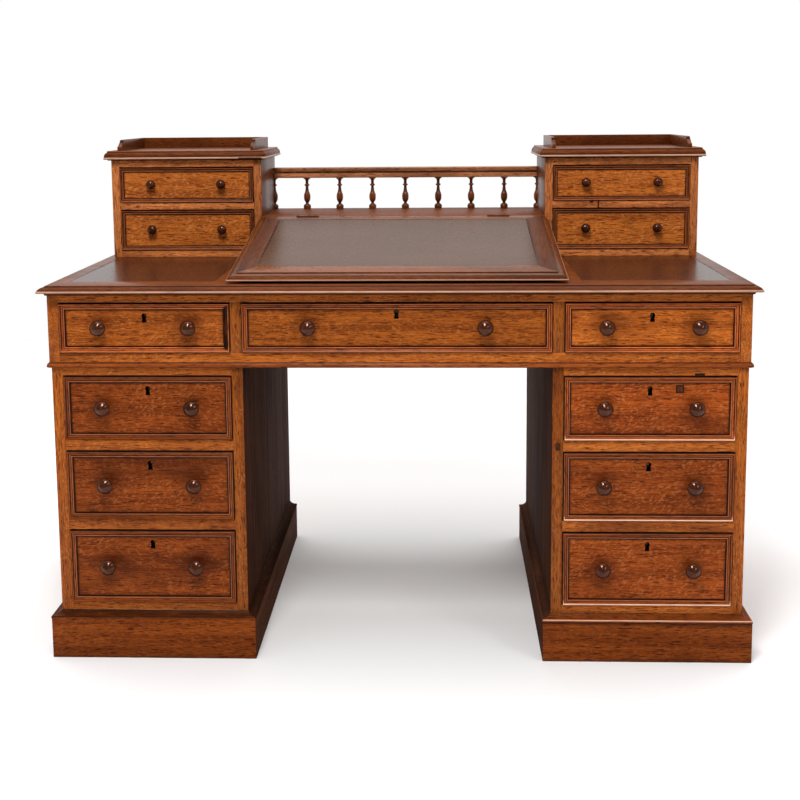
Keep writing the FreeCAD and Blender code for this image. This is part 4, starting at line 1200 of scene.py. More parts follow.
@dataclass
class Desktop:
    """The desktop with its moulded edge and two leathers let in."""

    def build(self) -> None:
        """Builds the board, cuts its recesses and lays the leathers."""
        low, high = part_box("desktop")
        frieze_low, frieze_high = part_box("frieze_carcass")
        bench = Bench("desktop_board")
        reach = frieze_low.y - low.y
        side_reach = frieze_low.x - low.x
        steps = TOP_EDGE.steps(reach, low.z, high.z - low.z)
        bench.moulded(0.0, frieze_high.x + side_reach - reach, frieze_low.y, high.y, steps, Grain.X)
        piece = bench.close()
        leathers = boards_of("desktop_leathers")
        carve(piece, [block(bottom, Vector((top.x, top.y, top.z + reach))) for bottom, top in leathers])
        ease(piece, EDGE_EASE)
        lay_grain(piece, bench.grains, lambda centre, normal: 0)
        dress(piece, [Stock.TOP, Stock.NOSING], "desk", ["desktop"], edge_finish)
        skins = Bench("desktop_leather_skins")
        for bottom, top in leathers:
            skins.skin(bottom, top)
        skin = skins.close()
        ease(skin, THIN_EASE)
        dress(skin, [Stock.DESK_LEATHER], "desk", ["desktop_leathers"])


@dataclass
class DrawerKind:
    """Sizes that the drawers of one kind share.

    The worked edge gives the distance from the front's edge and the height of each point in millimetres,
    and the dirt there, with painted shade in the gap and the quirks and, below none, a painted highlight on
    the beads.
    """

    worked_edge: tuple[Step, ...]
    moulding_width: float
    moulding_height: float
    front: float
    knob_reach: float
    knob_radius: float
    turning: Moulding
    stock: Stock
    lap: float = 5 * MM
    tail_pitch: float = 42 * MM
    tail_half: float = 0.3
    tail_flare: float = 1.3
    tail_proud: float = 0.12 * MM
    front_lift: float = 0.5 * MM


LARGE = DrawerKind(
    worked_edge=((0.0, 4.0, 1.0), (1.0, 5.1, 1.0), (1.1, 5.7, 0.0), (1.7, 6.0, -0.1), (2.4, 5.8, 0.0),
                 (2.8, 5.2, 0.0), (2.9, 4.2, 1.0), (4.4, 3.2, 1.0), (4.5, 3.1, 0.1), (5.8, 2.7, 0.0),
                 (7.4, 2.4, 0.1), (7.5, 2.3, 1.0), (8.8, 2.3, 1.0), (8.9, 3.5, 0.0), (9.4, 4.1, -0.2),
                 (10.1, 4.0, -0.1), (10.6, 3.4, 0.0), (10.7, 0.2, 1.0), (11.1, -0.6, 1.0), (12.8, -0.6, 1.0),
                 (13.0, 0.0, 1.0), (13.6, 0.0, 0.4), (17.0, 0.0, 0.0)),
    moulding_width=13 * MM, moulding_height=6 * MM, front=19 * MM, knob_reach=29 * MM, knob_radius=16 * MM,
    turning=KNOB_TURNING, stock=Stock.FRONT)
SMALL = DrawerKind(
    worked_edge=((0.0, 3.4, 1.0), (0.8, 4.3, 1.0), (0.9, 4.8, 0.0), (1.4, 5.0, -0.1), (2.0, 4.8, 0.0),
                 (2.3, 4.3, 0.0), (2.4, 3.4, 1.0), (3.6, 2.6, 1.0), (3.7, 2.5, 0.1), (4.4, 2.2, 0.0),
                 (5.1, 2.0, 0.1), (5.2, 1.9, 1.0), (6.2, 1.9, 1.0), (6.3, 2.9, 0.0), (6.8, 3.4, -0.2),
                 (7.4, 3.3, -0.1), (7.8, 2.8, 0.0), (7.9, 0.2, 1.0), (8.2, -0.5, 1.0), (9.3, -0.5, 1.0),
                 (9.5, 0.0, 1.0), (10.0, 0.0, 0.4), (12.5, 0.0, 0.0)),
    moulding_width=9.5 * MM, moulding_height=5 * MM, front=14 * MM, knob_reach=20 * MM, knob_radius=11 * MM,
    turning=SMALL_KNOB_TURNING, stock=Stock.BANK_FRONT, lap=4 * MM, tail_pitch=30 * MM)
WIDE = replace(LARGE, stock=Stock.FRIEZE_FRONT)


@dataclass
class Drawer:
    """A drawer with its moulded front, dovetailed box, knobs and, where it has one, a lock."""

    name: str
    kind: DrawerKind
    tone: float = 0.0
    pattern: Optional["Drawer"] = None
    # Painted highlight on the moulding's foot bead; below none it darkens the bead
    rubbed: float = 0.12
    # Paints shade on the right member of the moulding
    dark_end: bool = False
    patch: Optional[Point] = None
    patch_half: float = 8 * MM
    patch_proud: float = 0.2 * MM
    patch_dirt: tuple[float, ...] = (0.9, 0.8, 0.0)
    keyhole_radius: float = 5.2 * MM
    keyhole_slot: float = 3.4 * MM
    keyhole_length: float = 13.5 * MM
    keyhole_flare: float = 1.4
    keyhole_sides: int = 20
    low: Vector = field(init=False)
    high: Vector = field(init=False)
    pieces: dict[str, bpy.types.Object] = field(init=False, default_factory=dict)
    grains: dict[str, list[Grain]] = field(init=False, default_factory=dict)

    def __post_init__(self) -> None:
        """Reads the drawer's place from its solid."""
        self.low, self.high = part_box(self.name)

    @property
    def panel(self) -> float:
        """The Y of the front's flat panel."""
        return self.low.y + self.kind.moulding_height

    def build(self) -> None:
        """Builds the front, the box and the knobs, and gives the lock its brass."""
        self.build_front()
        self.build_box()
        self.build_knobs()
        lock = frame["nodes"].get(f"{self.name}_lock")
        if lock:
            lock.material_slots[0].material = material(Stock.BRASS)

    def take(self, part: str, shape: Callable[[str], bpy.types.Object]) -> bpy.types.Object:
        """Gives one of the drawer's pieces, copied where another drawer has the same.

        Args:
            part: The piece's name on any drawer.
            shape: Shapes the piece, from its full name.

        Returns:
            The piece, still without its finish.
        """
        name = f"{self.name}_{part}"
        if self.pattern and not (self.patch and part == "front"):
            piece = copy_piece(self.pattern.pieces[part], name, self.low - self.pattern.low)
            self.grains[part] = self.pattern.grains[part]
        else:
            piece = shape(name)
        self.pieces[part] = piece
        return piece

    def front_span(self) -> Span:
        """Gives the lowest and highest corner of the front's own board."""
        low = Vector((self.low.x, self.panel, self.low.z + self.kind.front_lift))
        return low, Vector((self.high.x, self.panel + self.kind.front, self.high.z))

    def shape_front(self, name: str) -> bpy.types.Object:
        """Shapes the front with its moulding worked round it, and the keyhole.

        Args:
            name: The front's name.

        Returns:
            The front.
        """
        low, high = self.front_span()
        bench = Bench(name)
        points = self.kind.worked_edge
        bench.board(low - Vector((0, points[0][1] * MM, 0)), high, Grain.X)
        # The front board's edges, seen in the gap round the drawer, are marked full: painted shade in the gap
        bench.soil(1.0)
        bench.choose_face(TO_FRONT)
        bench.soil(points[0][2])
        for (width, height, dirt), (next_width, next_height, next_dirt_and_shade) in zip(points, points[1:]):
            bpy.ops.mesh.inset(thickness=(next_width - width) * MM, depth=(next_height - height) * MM)
            bench.soil(next_dirt_and_shade)
        rim = self.kind.moulding_width
        for corner, normal in (((0, 0, low.z + rim), (0, 0, 1)), ((high.x - rim, 0, 0), (1, 0, 0))):
            bpy.ops.mesh.select_all(action="SELECT")
            bpy.ops.mesh.bisect(plane_co=corner, plane_no=normal)
        bench.recount()
        if self.patch:
            self.lay_patch(bench)
        piece = bench.close()
        if f"{self.name}_lock" in frame["nodes"]:
            carve(piece, self.keyhole())
        smooth(WORKED_CORNER)
        self.grains["front"] = [Grain.X, Grain.X, Grain.Z, Grain.Z, Grain.Z]
        return piece

    def build_front(self) -> None:
        """Takes the front, wears its moulding, and gives each member its wood."""
        piece = self.take("front", self.shape_front)
        self.wear_moulding(piece)
        low, high = self.front_span()
        rim = self.kind.moulding_width
        member = mitred(low, high, (0, 2))

        def within(centre: Vector) -> bool:
            """Says whether a face lies inside the moulding."""
            return low.x + rim < centre.x < high.x - rim and low.z + rim < centre.z < high.z - rim

        def board(centre: Vector, normal: Vector) -> int:
            """Gives 0 for the front's own board, 1, 2 or 3 for a member of the moulding and 4 for a patch."""
            if within(centre) and centre.y < self.panel - self.patch_proud / 20:
                return 4
            return 0 if within(centre) or centre.y > self.panel + ARRIS else 1 + member(centre, normal)
        lay_grain(piece, self.grains["front"], board)
        self.note_knobs(piece)
        shade(piece, lambda centre, number: self.tone)

        def finish(centre: Vector, normal: Vector) -> int:
            """Gives 0 for the front's wood, 1 for its moulding, 2 for the keyhole's walls, 3 for a patch."""
            if within(centre) and abs(normal.y) < 0.5 and centre.y > self.panel:
                return 2
            return (0, 1, 1, 1, 3)[board(centre, normal)]
        stocks = [self.kind.stock, Stock.MOULDING, Stock.SOOT, Stock.STILE]
        dress(piece, stocks, self.name, [self.name], finish)

    def wear_moulding(self, piece: bpy.types.Object) -> None:
        """Paints a highlight on the outer bead along the moulding's foot, or darkens it where the share is
        below none, and paints shade on the right member where asked.

        Args:
            piece: The front.
        """
        low, high = self.front_span()
        points = self.kind.worked_edge
        start = (points[1][0] + points[2][0]) / 2 * MM
        end = (points[6][0] + points[7][0]) / 2 * MM
        level = self.panel - points[7][1] * MM - ARRIS
        for vertex, dirt in zip(piece.data.vertices, piece.data.attributes["dirt"].data):
            if start < vertex.co.z - low.z < end and vertex.co.y < level:
                dirt.value = -self.rubbed
            if self.dark_end and end < high.x - vertex.co.x < self.kind.moulding_width - ARRIS:
                dirt.value = 1.0

    def lay_patch(self, bench: Bench) -> None:
        """Lets a small square of darker wood into the front, a little proud of it.

        Args:
            bench: The bench that the front lies on.
        """
        middle = self.pin() + Vector((self.patch[0], 0, self.patch[1]))
        half = Vector((self.patch_half, 0, self.patch_half))
        proud = Vector((0, self.patch_proud, 0))
        bench.board(middle - half - proud, middle + half - proud / 10, Grain.Z)
        bench.soil(self.patch_dirt[0])
        bench.choose_face(TO_FRONT)
        for dirt in self.patch_dirt[1:]:
            bpy.ops.mesh.inset(thickness=self.patch_half / 4, depth=0)
            bench.soil(dirt)
        bench.recount()

    def note_knobs(self, piece: bpy.types.Object) -> None:
        """Notes where the knobs are on the front: X and Z from the pair's middle, half their spacing as Y.

        Args:
            piece: The front.
        """
        low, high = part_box(f"{self.name}_knobs")
        middle = (low + high) / 2
        spacing = (high.x - low.x) / 2 - self.kind.knob_radius
        marks = piece.data.attributes
        note = marks.get("front_place") or marks.new("front_place", "FLOAT_VECTOR", "POINT")
        for vertex, place in zip(piece.data.vertices, note.data):
            place.vector = (vertex.co.x - middle.x, spacing, vertex.co.z - middle.z)

    def keyhole(self) -> list[bpy.types.Object]:
        """Makes the two cutters of a keyhole.

        Returns:
            A round one and a slot that widens below it.
        """
        pin = self.pin() - Vector((0, self.kind.front, 0))
        through = 3 * self.kind.front
        bench = Bench("keyhole_round")
        steps = ((self.keyhole_radius, 0.0, 1.0), (self.keyhole_radius, through, 1.0))
        bench.turned(pin, Grain.Y, 1, steps, self.keyhole_sides)
        cutters = [bench.close()]
        bench = Bench("keyhole_slot")
        reach = Vector((self.keyhole_slot, 0, self.keyhole_length))
        bench.board(pin - reach, pin + Vector((self.keyhole_slot, through, 0)))
        # The slot's corners are marked full: painted shade inside the hole
        bench.soil(1.0)
        bench.choose(lambda place: place.z < pin.z - self.keyhole_length / 2)
        bpy.ops.transform.resize(value=(self.keyhole_flare, 1, 1), center_override=pin)
        return cutters + [bench.close()]

    def pin(self) -> Vector:
        """Finds the keyhole's place from the lock's drill pin, the foremost thing on the lock.

        Returns:
            The place on the panel.
        """
        low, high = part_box(f"{self.name}_lock")
        tip = [place.z for place in corners_of(f"{self.name}_lock") if place.y < low.y + ARRIS]
        return Vector(((low.x + high.x) / 2, self.panel, (min(tip) + max(tip)) / 2))

    def shape_box(self, name: str) -> bpy.types.Object:
        """Shapes sides, back and bottom, the sides with tails let into the front.

        Args:
            name: The box's name.

        Returns:
            The box.
        """
        bench = Bench(name)
        left, right, back, bottom = boards_of(self.name, 4)
        for low, high in (left, right, back, bottom):
            bench.board(low, high)
        for (low, high), way in ((left, Side.LEFT), (right, Side.RIGHT)):
            count = max(2, round((high.z - low.z) / self.kind.tail_pitch))
            pitch = (high.z - low.z) / count
            for number in range(count):
                middle = low.z + (number + 0.5) * pitch
                half = Vector((0, 0, pitch * self.kind.tail_half))
                proud = Vector((way.value * self.kind.tail_proud, 0, 0))
                start = Vector((low.x, self.panel + self.kind.lap, middle))
                end = Vector((high.x, low.y + ARRIS, middle))
                bench.board(start + proud - half, end + proud + half, Grain.Y)
                bench.choose(lambda place: place.y < start.y + ARRIS)
                bpy.ops.transform.resize(value=(1, 1, self.kind.tail_flare), center_override=start)
        piece = bench.close()
        ease(piece, THIN_EASE, 1)
        self.grains["box"] = bench.grains
        return piece

    def build_box(self) -> None:
        """Takes the box and gives it its wood."""
        piece = self.take("box", self.shape_box)
        lay_grain(piece, self.grains["box"])
        dress(piece, [Stock.INSIDE], self.name, [self.name])

    def shape_knobs(self, name: str) -> bpy.types.Object:
        """Turns the pair of knobs.

        Args:
            name: The pair's name.

        Returns:
            The pair.
        """
        low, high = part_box(f"{self.name}_knobs")
        middle = (low.z + high.z) / 2
        radius = (high.z - low.z) / 2
        bench = Bench(name)
        steps = self.kind.turning.steps(self.kind.knob_radius, 0.0, self.kind.knob_reach)
        bench.turned(Vector((low.x + radius, self.panel, middle)), Grain.Y, -1, steps)
        bench.repeat(Vector((high.x - low.x - 2 * radius, 0, 0)))
        piece = bench.close()
        smooth(TURNED_CORNER)
        self.grains["turned_knobs"] = bench.grains
        return piece

    def build_knobs(self) -> None:
        """Takes the pair of knobs and gives it its wood."""
        piece = self.take("turned_knobs", self.shape_knobs)
        lay_grain(piece, self.grains["turned_knobs"])
        dress(piece, [Stock.KNOB], self.name, [f"{self.name}_knobs"])


@dataclass
class Bank:
    """A bank of small drawers with its moulded top and low surround.

    The swept end gives shares of the sweep's length and of its drop, and the dirt there, with painted shade
    in the step's notch.
    """

    side: Side
    chips: tuple[Chip, ...] = ()
    top_chips: tuple[Chip, ...] = ()
    sweep: float = 34 * MM
    step_share: float = 0.36
    # Lightens the bank's rails and stiles: painted sheen
    rail_tone: float = 0.38
    stile_tone: float = 0.08
    swept_end: tuple[Step, ...] = ((0.0, 1.0, 0.0), (0.10, 0.97, 0.0), (0.25, 0.86, 0.0), (0.42, 0.62, 0.0),
                                   (0.56, 0.42, 0.9), (0.66, 0.36, 0.9), (0.70, 0.35, 0.9), (0.72, 0.12, 0.9),
                                   (0.84, 0.03, 0.0))

    def build(self) -> None:
        """Builds the case, the top and the surround."""
        name = f"gallery_{self.side.word}"
        bench = Bench(f"{name}_boards")
        boards = boards_of(f"{name}_case")
        for low, high in boards:
            tall = high.z - low.z
            standing = tall > (high.y - low.y) / 2 and tall > 2 * (high.x - low.x)
            bench.board(low, high, Grain.Z if standing else None)
        case_low, case_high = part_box(f"{name}_case")
        for chip in self.chips:
            chip.lay(bench, case_low.y)
        piece = bench.close()
        ease(piece, ARRIS)
        lay_grain(piece, bench.grains)
        inner = min(abs(case_low.x), abs(case_high.x))
        width = boards[0][1].x - boards[0][0].x
        shade(piece, lambda centre, board: self.rail_tone
              if case_low.x + width < centre.x < case_high.x - width else self.stile_tone)
        dress(piece, [Stock.BANK, Stock.TOP], "desk", [f"{name}_case"],
              lambda centre, normal: int(abs(centre.x) < inner + ARRIS / 4))
        self.build_top(name)
        self.build_surround(name)

    def build_top(self, name: str) -> None:
        """Builds the moulded top board.

        Args:
            name: The bank's name.
        """
        low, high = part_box(f"{name}_top")
        case_low, case_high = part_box(f"{name}_case")
        reach = case_low.y - low.y
        bench = Bench(f"{name}_top_board")
        bench.moulded((low.x + high.x) / 2, (case_high.x - case_low.x) / 2, case_low.y, high.y,
                      BANK_TOP_EDGE.steps(reach, low.z, high.z - low.z), Grain.X)
        for chip in self.top_chips:
            chip.lay(bench, low.y)
        piece = bench.close()
        ease(piece, EDGE_EASE)
        lay_grain(piece, bench.grains)
        dress(piece, [Stock.TOP, Stock.NOSING], "desk", [f"{name}_top"], edge_finish)

    def build_surround(self, name: str) -> None:
        """Builds the back board and the two side boards with their swept ends.

        Args:
            name: The bank's name.
        """
        low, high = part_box(f"{name}_surround")
        back_low, back_high = first_board(f"{name}_surround")
        thickness = back_high.y - back_low.y
        bench = Bench(f"{name}_surround_boards")
        bench.board(back_low, back_high)
        for start in (low.x, high.x - thickness):
            end = Vector((start + thickness, back_low.y, high.z))
            bench.board(Vector((start, low.y, low.z)), end, Grain.Y)
            self.sweep_end(bench, low, high)
            bench.recount()
        piece = bench.close()
        ease(piece, EDGE_EASE)
        lay_grain(piece, bench.grains)
        dress(piece, [Stock.TOP], "desk", [f"{name}_surround"])

    def sweep_end(self, bench: Bench, low: Vector, high: Vector) -> None:
        """Shapes the swept front end of the side board that is selected.

        Args:
            bench: The bench it lies on.
            low: The surround's lowest corner.
            high: The surround's highest corner.
        """
        for share in [share for share, drop, dirt in self.swept_end[1:]] + [1.0]:
            bpy.ops.mesh.select_linked()
            bpy.ops.mesh.bisect(plane_co=(0, low.y + self.sweep * share, 0), plane_no=(0, 1, 0))
        rise = (high.z - low.z) * (1 - self.step_share)
        for share, drop, dirt in self.swept_end:
            place = low.y + self.sweep * share
            bpy.ops.mesh.select_linked()
            bench.choose(lambda corner: abs(corner.y - place) < NEAR and corner.z > high.z - ARRIS)
            bpy.ops.transform.translate(value=(0, 0, -rise * drop))
            bench.soil(dirt)


@dataclass
class SpindleRail:
    """The turned spindles with their rail and cap."""

    whole_each_side: int = 3
    slimness: float = 0.95
    sides: int = 28
    cap_tone: float = -0.5
    cap_rounding: float = 2.6 * MM
    cap_parts: int = 4

    def build(self) -> None:
        """Turns the spindles, and makes the rail and its rounded cap."""
        low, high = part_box("spindles")
        middle = (low.y + high.y) / 2
        height = high.z - low.z
        radius = (high.y - low.y) / 2 * self.slimness
        steps = SPINDLE_TURNING.steps(radius, 0.0, height)
        bench = Bench("turned_spindles")
        spaces = 2 * (self.whole_each_side + 1)
        pitch = Vector(((high.x - low.x) / spaces, 0, 0))
        bench.turned(Vector((low.x, middle, low.z)), Grain.Z, 1, steps, self.sides)
        for number in range(spaces):
            bench.repeat(pitch)
        bpy.ops.mesh.select_all(action="SELECT")
        bench.slice(low, Vector((-1, 0, 0)))
        bpy.ops.mesh.select_all(action="SELECT")
        bench.slice(high, Vector((1, 0, 0)))
        piece = bench.close()
        smooth(TURNED_CORNER)
        lay_grain(piece, bench.grains, lambda centre, normal: round((centre.x - low.x) / pitch.x))
        dress(piece, [Stock.SPINDLE], "desk", ["spindles"])
        self.build_rail()

    def build_rail(self) -> None:
        """Makes the square rail and the cap with rounded edges."""
        low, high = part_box("spindle_rail")
        rail_low, rail_high = first_board("spindle_rail")
        bench = Bench("spindle_rail_boards")
        bench.board(rail_low, rail_high)
        bench.board(Vector((low.x, low.y, rail_high.z)), high)
        piece = bench.close()
        ease(piece, self.cap_rounding, self.cap_parts)
        lay_grain(piece, bench.grains)
        shade(piece, lambda centre, board: self.cap_tone if centre.z > rail_high.z else 0.0)
        dress(piece, [Stock.RAIL], "desk", ["spindle_rail"])


@dataclass
class Slope:
    """The sloping lid, with the shelf and cheeks that carry it."""

    joint: str = "lid_hinge"
    axis_rise: float = 0.8 * MM
    thickness: float = 15 * MM
    edge: float = 19 * MM
    stile: float = 53 * MM
    front_rail: float = 60 * MM
    rear_rail: float = 26 * MM
    panel: float = 9 * MM
    leather: float = 1 * MM
    leather_sink: float = 0.3 * MM
    joint_gap: float = 0.5 * MM
    shelf: float = 18 * MM
    cheek: float = 14 * MM
    cheek_inset: float = 9 * MM
    back_board: float = 8 * MM
    rest_gap: float = 0.3 * MM
    recess_share: float = 0.72
    recess_reach: float = 3.4 * MM

    def place(self) -> Matrix:
        """Gives the lid's place: its hinge line as origin, its Y along the slope.

        Returns:
            The turn and move from the flat lid to its slope.
        """
        hinge = next(joint for joint in frame["joints"] if joint["name"] == self.joint)
        axis = Vector(hinge["pos_m"])
        low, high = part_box("lid_leather")
        angle = math.atan2(high.z - low.z - self.leather, high.y - low.y)
        turn = Matrix.Rotation(angle, 4, "X")
        return Matrix.Translation(axis) @ turn @ Matrix.Translation((0, 0, -self.axis_rise))

    def build(self) -> None:
        """Builds the bed, the lid and its leather, and gives the hinges their brass."""
        for node in ("lid_hinge_leaves", "shelf_hinge_leaves"):
            frame["nodes"][node].material_slots[0].material = material(Stock.HINGE)
        self.build_lid()
        self.build_bed()

    def build_lid(self) -> None:
        """Builds the framed lid flat, then lays it on its slope."""
        place = self.place()
        flat = [place.inverted() @ corner for corner in corners_of("lid_frame")]
        half = max(corner.x for corner in flat)
        nose = min(corner.y for corner in flat)
        back = -self.joint_gap
        bench = Bench("lid_framed_panel")
        steps = LID_EDGE.steps(self.edge, -self.thickness, self.thickness)
        bench.moulded(0.0, half - self.edge, nose + self.edge, back, steps, Grain.X)
        piece = bench.close()
        inside = Vector((half - self.stile, back - self.rear_rail, 0))
        front = Vector((-inside.x, nose + self.front_rail, 0))
        bed = -self.leather - self.leather_sink
        below = bed - self.panel
        deep = Vector((0, 0, self.thickness))
        cutters = [block(front + Vector((0, 0, bed)), inside + deep),
                   block(front - 2 * deep, inside + Vector((0, 0, below)))]
        for low, high in self.hinge_recesses(place):
            cutters.append(block(low, high))
        carve(piece, cutters)
        self.part_members(half, nose, inside.x)
        ease(piece, EDGE_EASE)

        def member(centre: Vector, normal: Vector) -> int:
            """Gives 0 for the rails, 1 and 2 for the stiles and 3 for the panel."""
            if front.x < centre.x < inside.x and front.y < centre.y < inside.y and abs(normal.z) > 0.5:
                return 3
            to_side = half - abs(centre.x)
            if to_side < min(centre.y - nose, self.stile) and centre.y < inside.y:
                return 1 if centre.x < 0 else 2
            return 0
        lay_grain(piece, [Grain.X, Grain.Y, Grain.Y, Grain.X], member)

        def finish(centre: Vector, normal: Vector) -> int:
            """Gives 0 for the rails and the panel, 1 for the moulded edge and 2 for the stiles' flat."""
            if member(centre, normal) in (1, 2) and abs(centre.x) < half - self.edge:
                return 2
            return edge_finish(centre, normal)
        dress(piece, [Stock.LID_RAIL, Stock.NOSING, Stock.STILE], "lid", ["lid_frame"], finish)
        piece.data.transform(place)
        skin = Bench("lid_leather_skin")
        skin.skin(front + Vector((0, 0, bed)), inside - Vector((0, 0, self.leather_sink)))
        leather = skin.close()
        ease(leather, THIN_EASE)
        leather.data.transform(place)
        dress(leather, [Stock.LEATHER], "lid", ["lid_leather"])

    def part_members(self, half: float, nose: float, inside: float) -> None:
        """Cuts the flat lid's faces along its frame's joints, so that each member can have its own grain.

        Args:
            half: Half the lid's width.
            nose: The Y of its front.
            inside: Half the width between its stiles.
        """
        bpy.ops.object.mode_set(mode="EDIT")
        for way in (-1, 1):
            for corner, normal in (((way * inside, 0, 0), (1, 0, 0)), ((way * half, nose, 0), (way, 1, 0))):
                bpy.ops.mesh.select_all(action="SELECT")
                bpy.ops.mesh.bisect(plane_co=corner, plane_no=normal)
        bpy.ops.object.mode_set(mode="OBJECT")

    def hinge_recesses(self, place: Matrix) -> list[Span]:
        """Gives the recesses for the hinge leaves in the lid's rear rail.

        Args:
            place: The lid's place.

        Returns:
            Their lowest and highest corners on the flat lid.
        """
        flat = [place.inverted() @ corner for corner in corners_of("lid_hinge_leaves")]
        return [(Vector((low.x - self.rest_gap, low.y, low.z)),
                 Vector((high.x + self.rest_gap, self.thickness, self.thickness)))
                for low, high in halves(flat)]

    def build_bed(self) -> None:
        """Builds the shelf, the back board and the cheeks with their sloping tops."""
        place = self.place()
        low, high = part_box("slope_bed")
        under = high.z - self.shelf
        hinge_line = place @ Vector((0, self.joint_gap, 0))
        slope = place.to_3x3()
        bench = Bench("slope_bed_boards")
        bench.board(Vector((low.x, hinge_line.y - self.shelf, under)), high)
        bpy.ops.mesh.select_linked()
        bench.slice(hinge_line, slope @ Vector((0, -1, 0)))
        closing = high.y - self.back_board
        bench.board(Vector((low.x, closing, low.z)), Vector((high.x, high.y, under)))
        rest = place @ Vector((0, 0, -self.thickness - self.rest_gap))
        for way in (-1, 1):
            outer = high.x - self.cheek_inset
            faces = sorted((way * (outer - self.cheek), way * outer))
            bench.board(Vector((faces[0], low.y, low.z)), Vector((faces[1], closing, under)), Grain.Y)
            bpy.ops.mesh.select_linked()
            bench.slice(rest, slope @ Vector((0, 0, 1)))
        piece = bench.close()
        recesses = []
        for leaf_low, leaf_high in halves(corners_of("shelf_hinge_leaves")):
            cutter = block(Vector((leaf_low.x, -self.joint_gap, -self.shelf * self.recess_share)),
                           Vector((leaf_high.x, self.recess_reach, self.shelf)))
            cutter.data.transform(place)
            recesses.append(cutter)
        carve(piece, recesses)
        ease(piece, ARRIS)

        def board(centre: Vector, normal: Vector) -> int:
            """Gives 0 for the shelf, 1 for the back board and 2 and 3 for the cheeks."""
            if centre.z > under - ARRIS and (abs(normal.z) < 0.5 or normal.z > 0 or centre.z < under + ARRIS):
                return 0
            if centre.y > closing - ARRIS:
                return 1
            return 2 if centre.x < 0 else 3
        lay_grain(piece, [Grain.X, Grain.X, Grain.Y, Grain.Y], board)
        dress(piece, [Stock.SHELF], "desk", ["slope_bed"])


@dataclass(frozen=True)
class Lamp:
    """A square lamp, with its size in metres and its power in watts."""

    name: str
    place: tuple[float, float, float]
    aim: tuple[float, float, float]
    size: float
    power: float

    def hang(self) -> None:
        """Hangs the lamp in its place and turns it to what it lights."""
        lamp = bpy.data.lights.new(self.name, "AREA")
        lamp.size = self.size
        lamp.energy = self.power
        holder = bpy.data.objects.new(self.name, lamp)
        holder.location = self.place
        holder.rotation_euler = (Vector(self.aim) - Vector(self.place)).to_track_quat("-Z", "Y").to_euler()
        bpy.context.scene.collection.objects.link(holder)


LAMPS = (Lamp("soft_box_high", (-0.3, -1.8, 3.1), (0, 0, 0.6), 0.8, 69.5),
         Lamp("soft_box_right", (2.4, -2.2, 2.4), (0, 0, 0.6), 0.8, 14.0),
         Lamp("ceiling", (0, 1.2, 7.0), (0, 1.2, 0), 7.0, 330.0))


@dataclass
class Studio:
    """Pale floor, soft light and the camera that took the picture, in pixels of its frame."""

    frame_width: float = 800.0
    focal: float = 1151.25
    middle: tuple[float, float] = (400.0, 250.0)
    eye: Vector = field(default_factory=lambda: Vector((0.0847, -2.5371, 1.1003)))
    yaw: float = 0.0346
    pitch: float = -0.1214
    roll: float = 0.0076
    sensor: float = 36.0
    floor_size: float = 5.8
    floor_white: Colour = (0.86, 0.86, 0.86)
    floor_roughness: float = 0.9
    front_glow: float = 0.25
    back_glow: float = 0.97
    glow_start: float = -0.5
    glow_end: float = 0.35

    def build(self) -> None:
        """Sets the floor, the lights and the camera."""
        self.set_floor()
        self.set_light()
        self.set_camera()

    def set_floor(self) -> None:
        """Lays the plain floor."""
        bpy.ops.object.select_all(action="DESELECT")
        bpy.ops.mesh.primitive_plane_add(size=self.floor_size, location=(0, 0, 0))
        floor = bpy.context.object
        floor.name = "studio_floor"
        graph = Graph("pale_floor")
        graph.shade(Base_Color=(*self.floor_white, 1.0), Roughness=self.floor_roughness)
        floor.data.materials.append(graph.material)

    def set_light(self) -> None:
        """Sets a surround that looks white and lights more from the back, and hangs the lamps."""
        world = bpy.data.worlds.new("studio")
        world.use_nodes = True
        bpy.context.scene.world = world
        bpy.context.scene.view_settings.view_transform = "Standard"
        nodes, links = world.node_tree.nodes, world.node_tree.links
        way = nodes.new("ShaderNodeSeparateXYZ")
        links.new(nodes.new("ShaderNodeTexCoord").outputs["Generated"], way.inputs[0])
        fall = nodes.new("ShaderNodeMapRange")
        fall.interpolation_type = "SMOOTHSTEP"
        for name, value in (("From Min", self.glow_start), ("From Max", self.glow_end),
                            ("To Min", self.front_glow), ("To Max", self.back_glow)):
            fall.inputs[name].default_value = value
        links.new(way.outputs["Y"], fall.inputs["Value"])
        seen = nodes.new("ShaderNodeMath")
        seen.operation = "MAXIMUM"
        links.new(fall.outputs["Result"], seen.inputs[0])
        links.new(nodes.new("ShaderNodeLightPath").outputs["Is Camera Ray"], seen.inputs[1])
        links.new(seen.outputs[0], nodes["Background"].inputs["Strength"])
        nodes["Background"].inputs["Color"].default_value = (1.0, 1.0, 1.0, 1.0)
        for lamp in LAMPS:
            lamp.hang()

    def set_camera(self) -> None:
        """Sets the camera where the picture was taken from."""
        lens = bpy.data.cameras.new("camera")
        lens.sensor_width = self.sensor
        lens.lens = self.focal / self.frame_width * self.sensor
        lens.shift_x = 0.5 - self.middle[0] / self.frame_width
        lens.shift_y = self.middle[1] / self.frame_width - 0.5
        camera = bpy.data.objects.new("camera", lens)
        turn = Matrix.Rotation(self.yaw, 4, "Z") @ Matrix.Rotation(self.pitch, 4, "X")
        turn = turn @ Matrix.Rotation(self.roll, 4, "Y") @ Matrix.Rotation(math.pi / 2, 4, "X")
        camera.matrix_world = Matrix.Translation(self.eye) @ turn
        bpy.context.scene.collection.objects.link(camera)
        bpy.context.scene.camera = camera


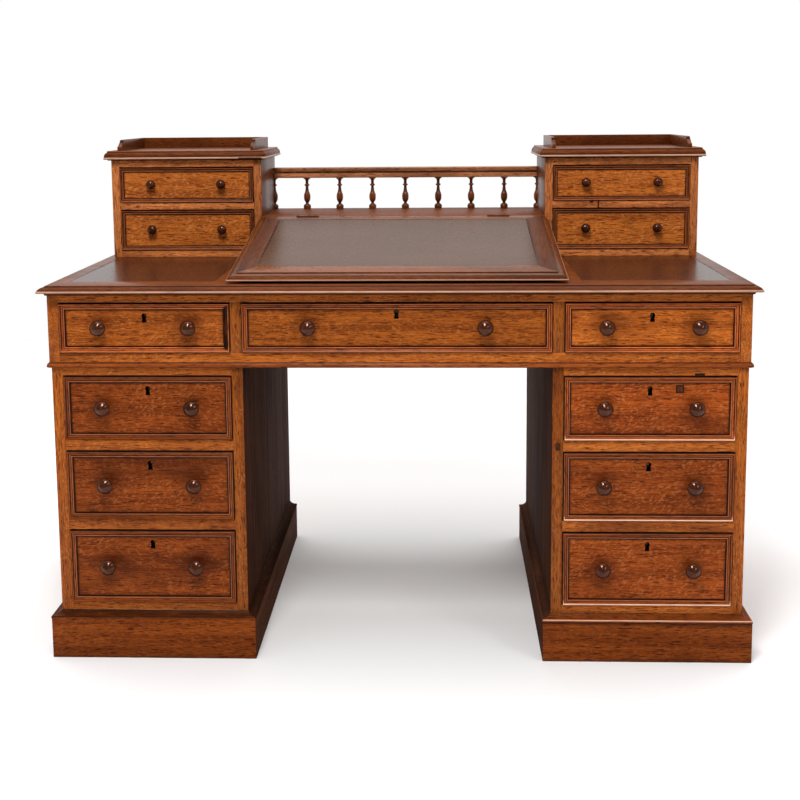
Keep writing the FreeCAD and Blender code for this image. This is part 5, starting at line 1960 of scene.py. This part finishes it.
# Tones of the drawers' fronts, from left to right and from top to bottom, and by side the painted highlight
# on the moulding's foot bead, a darkening below none
FRIEZE_TONES = (0.62, 0.26, 0.82)
PEDESTAL_TONES = {Side.LEFT: (-0.04, -0.06, 0.0), Side.RIGHT: (0.42, 0.06, 0.22)}
FOOT_BEAD_HIGHLIGHTS = {Side.LEFT: -0.25, Side.RIGHT: 0.95}
# The drawer with a patch, and the patch's place from the keyhole
PATCHED = "pedestal_right_drawer_top"
PATCH_PLACE = (58 * MM, 0.0)
# Scars on the right pedestal's rails, the left bank's top and the right bank's case
RAIL_CHIPS = (Chip(591, 583.2, 19, 4.6), Chip(316.5, 438, 9, 14))
LIP_CHIPS = (Chip(-350, 992.7, 54, 2.7),)
BANK_CHIPS = (Chip(449.5, 881, 3.6, 16), Chip(434, 887, 8, 5))


def drawers() -> list[Drawer]:
    """Lists the desk's drawers.

    Returns:
        The drawers of the frieze, the pedestals and the banks.
    """
    first = Drawer("frieze_drawer_right", WIDE, FRIEZE_TONES[2])
    listed = [first, Drawer("frieze_drawer_centre", WIDE, FRIEZE_TONES[1]),
              Drawer("frieze_drawer_left", WIDE, FRIEZE_TONES[0], first, dark_end=True)]
    for number, level in enumerate(("top", "middle", "bottom")):
        pattern = None
        for side in Side:
            name = f"pedestal_{side.word}_drawer_{level}"
            patch = PATCH_PLACE if name == PATCHED else None
            pattern = Drawer(name, LARGE, PEDESTAL_TONES[side][number], pattern, FOOT_BEAD_HIGHLIGHTS[side], patch=patch)
            listed.append(pattern)
    for level in ("upper", "lower"):
        pattern = None
        for side in Side:
            pattern = Drawer(f"gallery_{side.word}_drawer_{level}", SMALL, pattern=pattern)
            listed.append(pattern)
    return listed


def main() -> None:
    """Builds every sub-assembly in order."""
    logging.basicConfig(level=logging.INFO, format="%(name)s %(message)s")
    Desktop().build()
    Frieze().build()
    Pedestal(Side.LEFT).build()
    Pedestal(Side.RIGHT, chips=RAIL_CHIPS).build()
    Bank(Side.LEFT, top_chips=LIP_CHIPS).build()
    Bank(Side.RIGHT, chips=BANK_CHIPS).build()
    for drawer in drawers():
        drawer.build()
    SpindleRail().build()
    Slope().build()
    Studio().build()


if __name__ == "__main__":
    main()
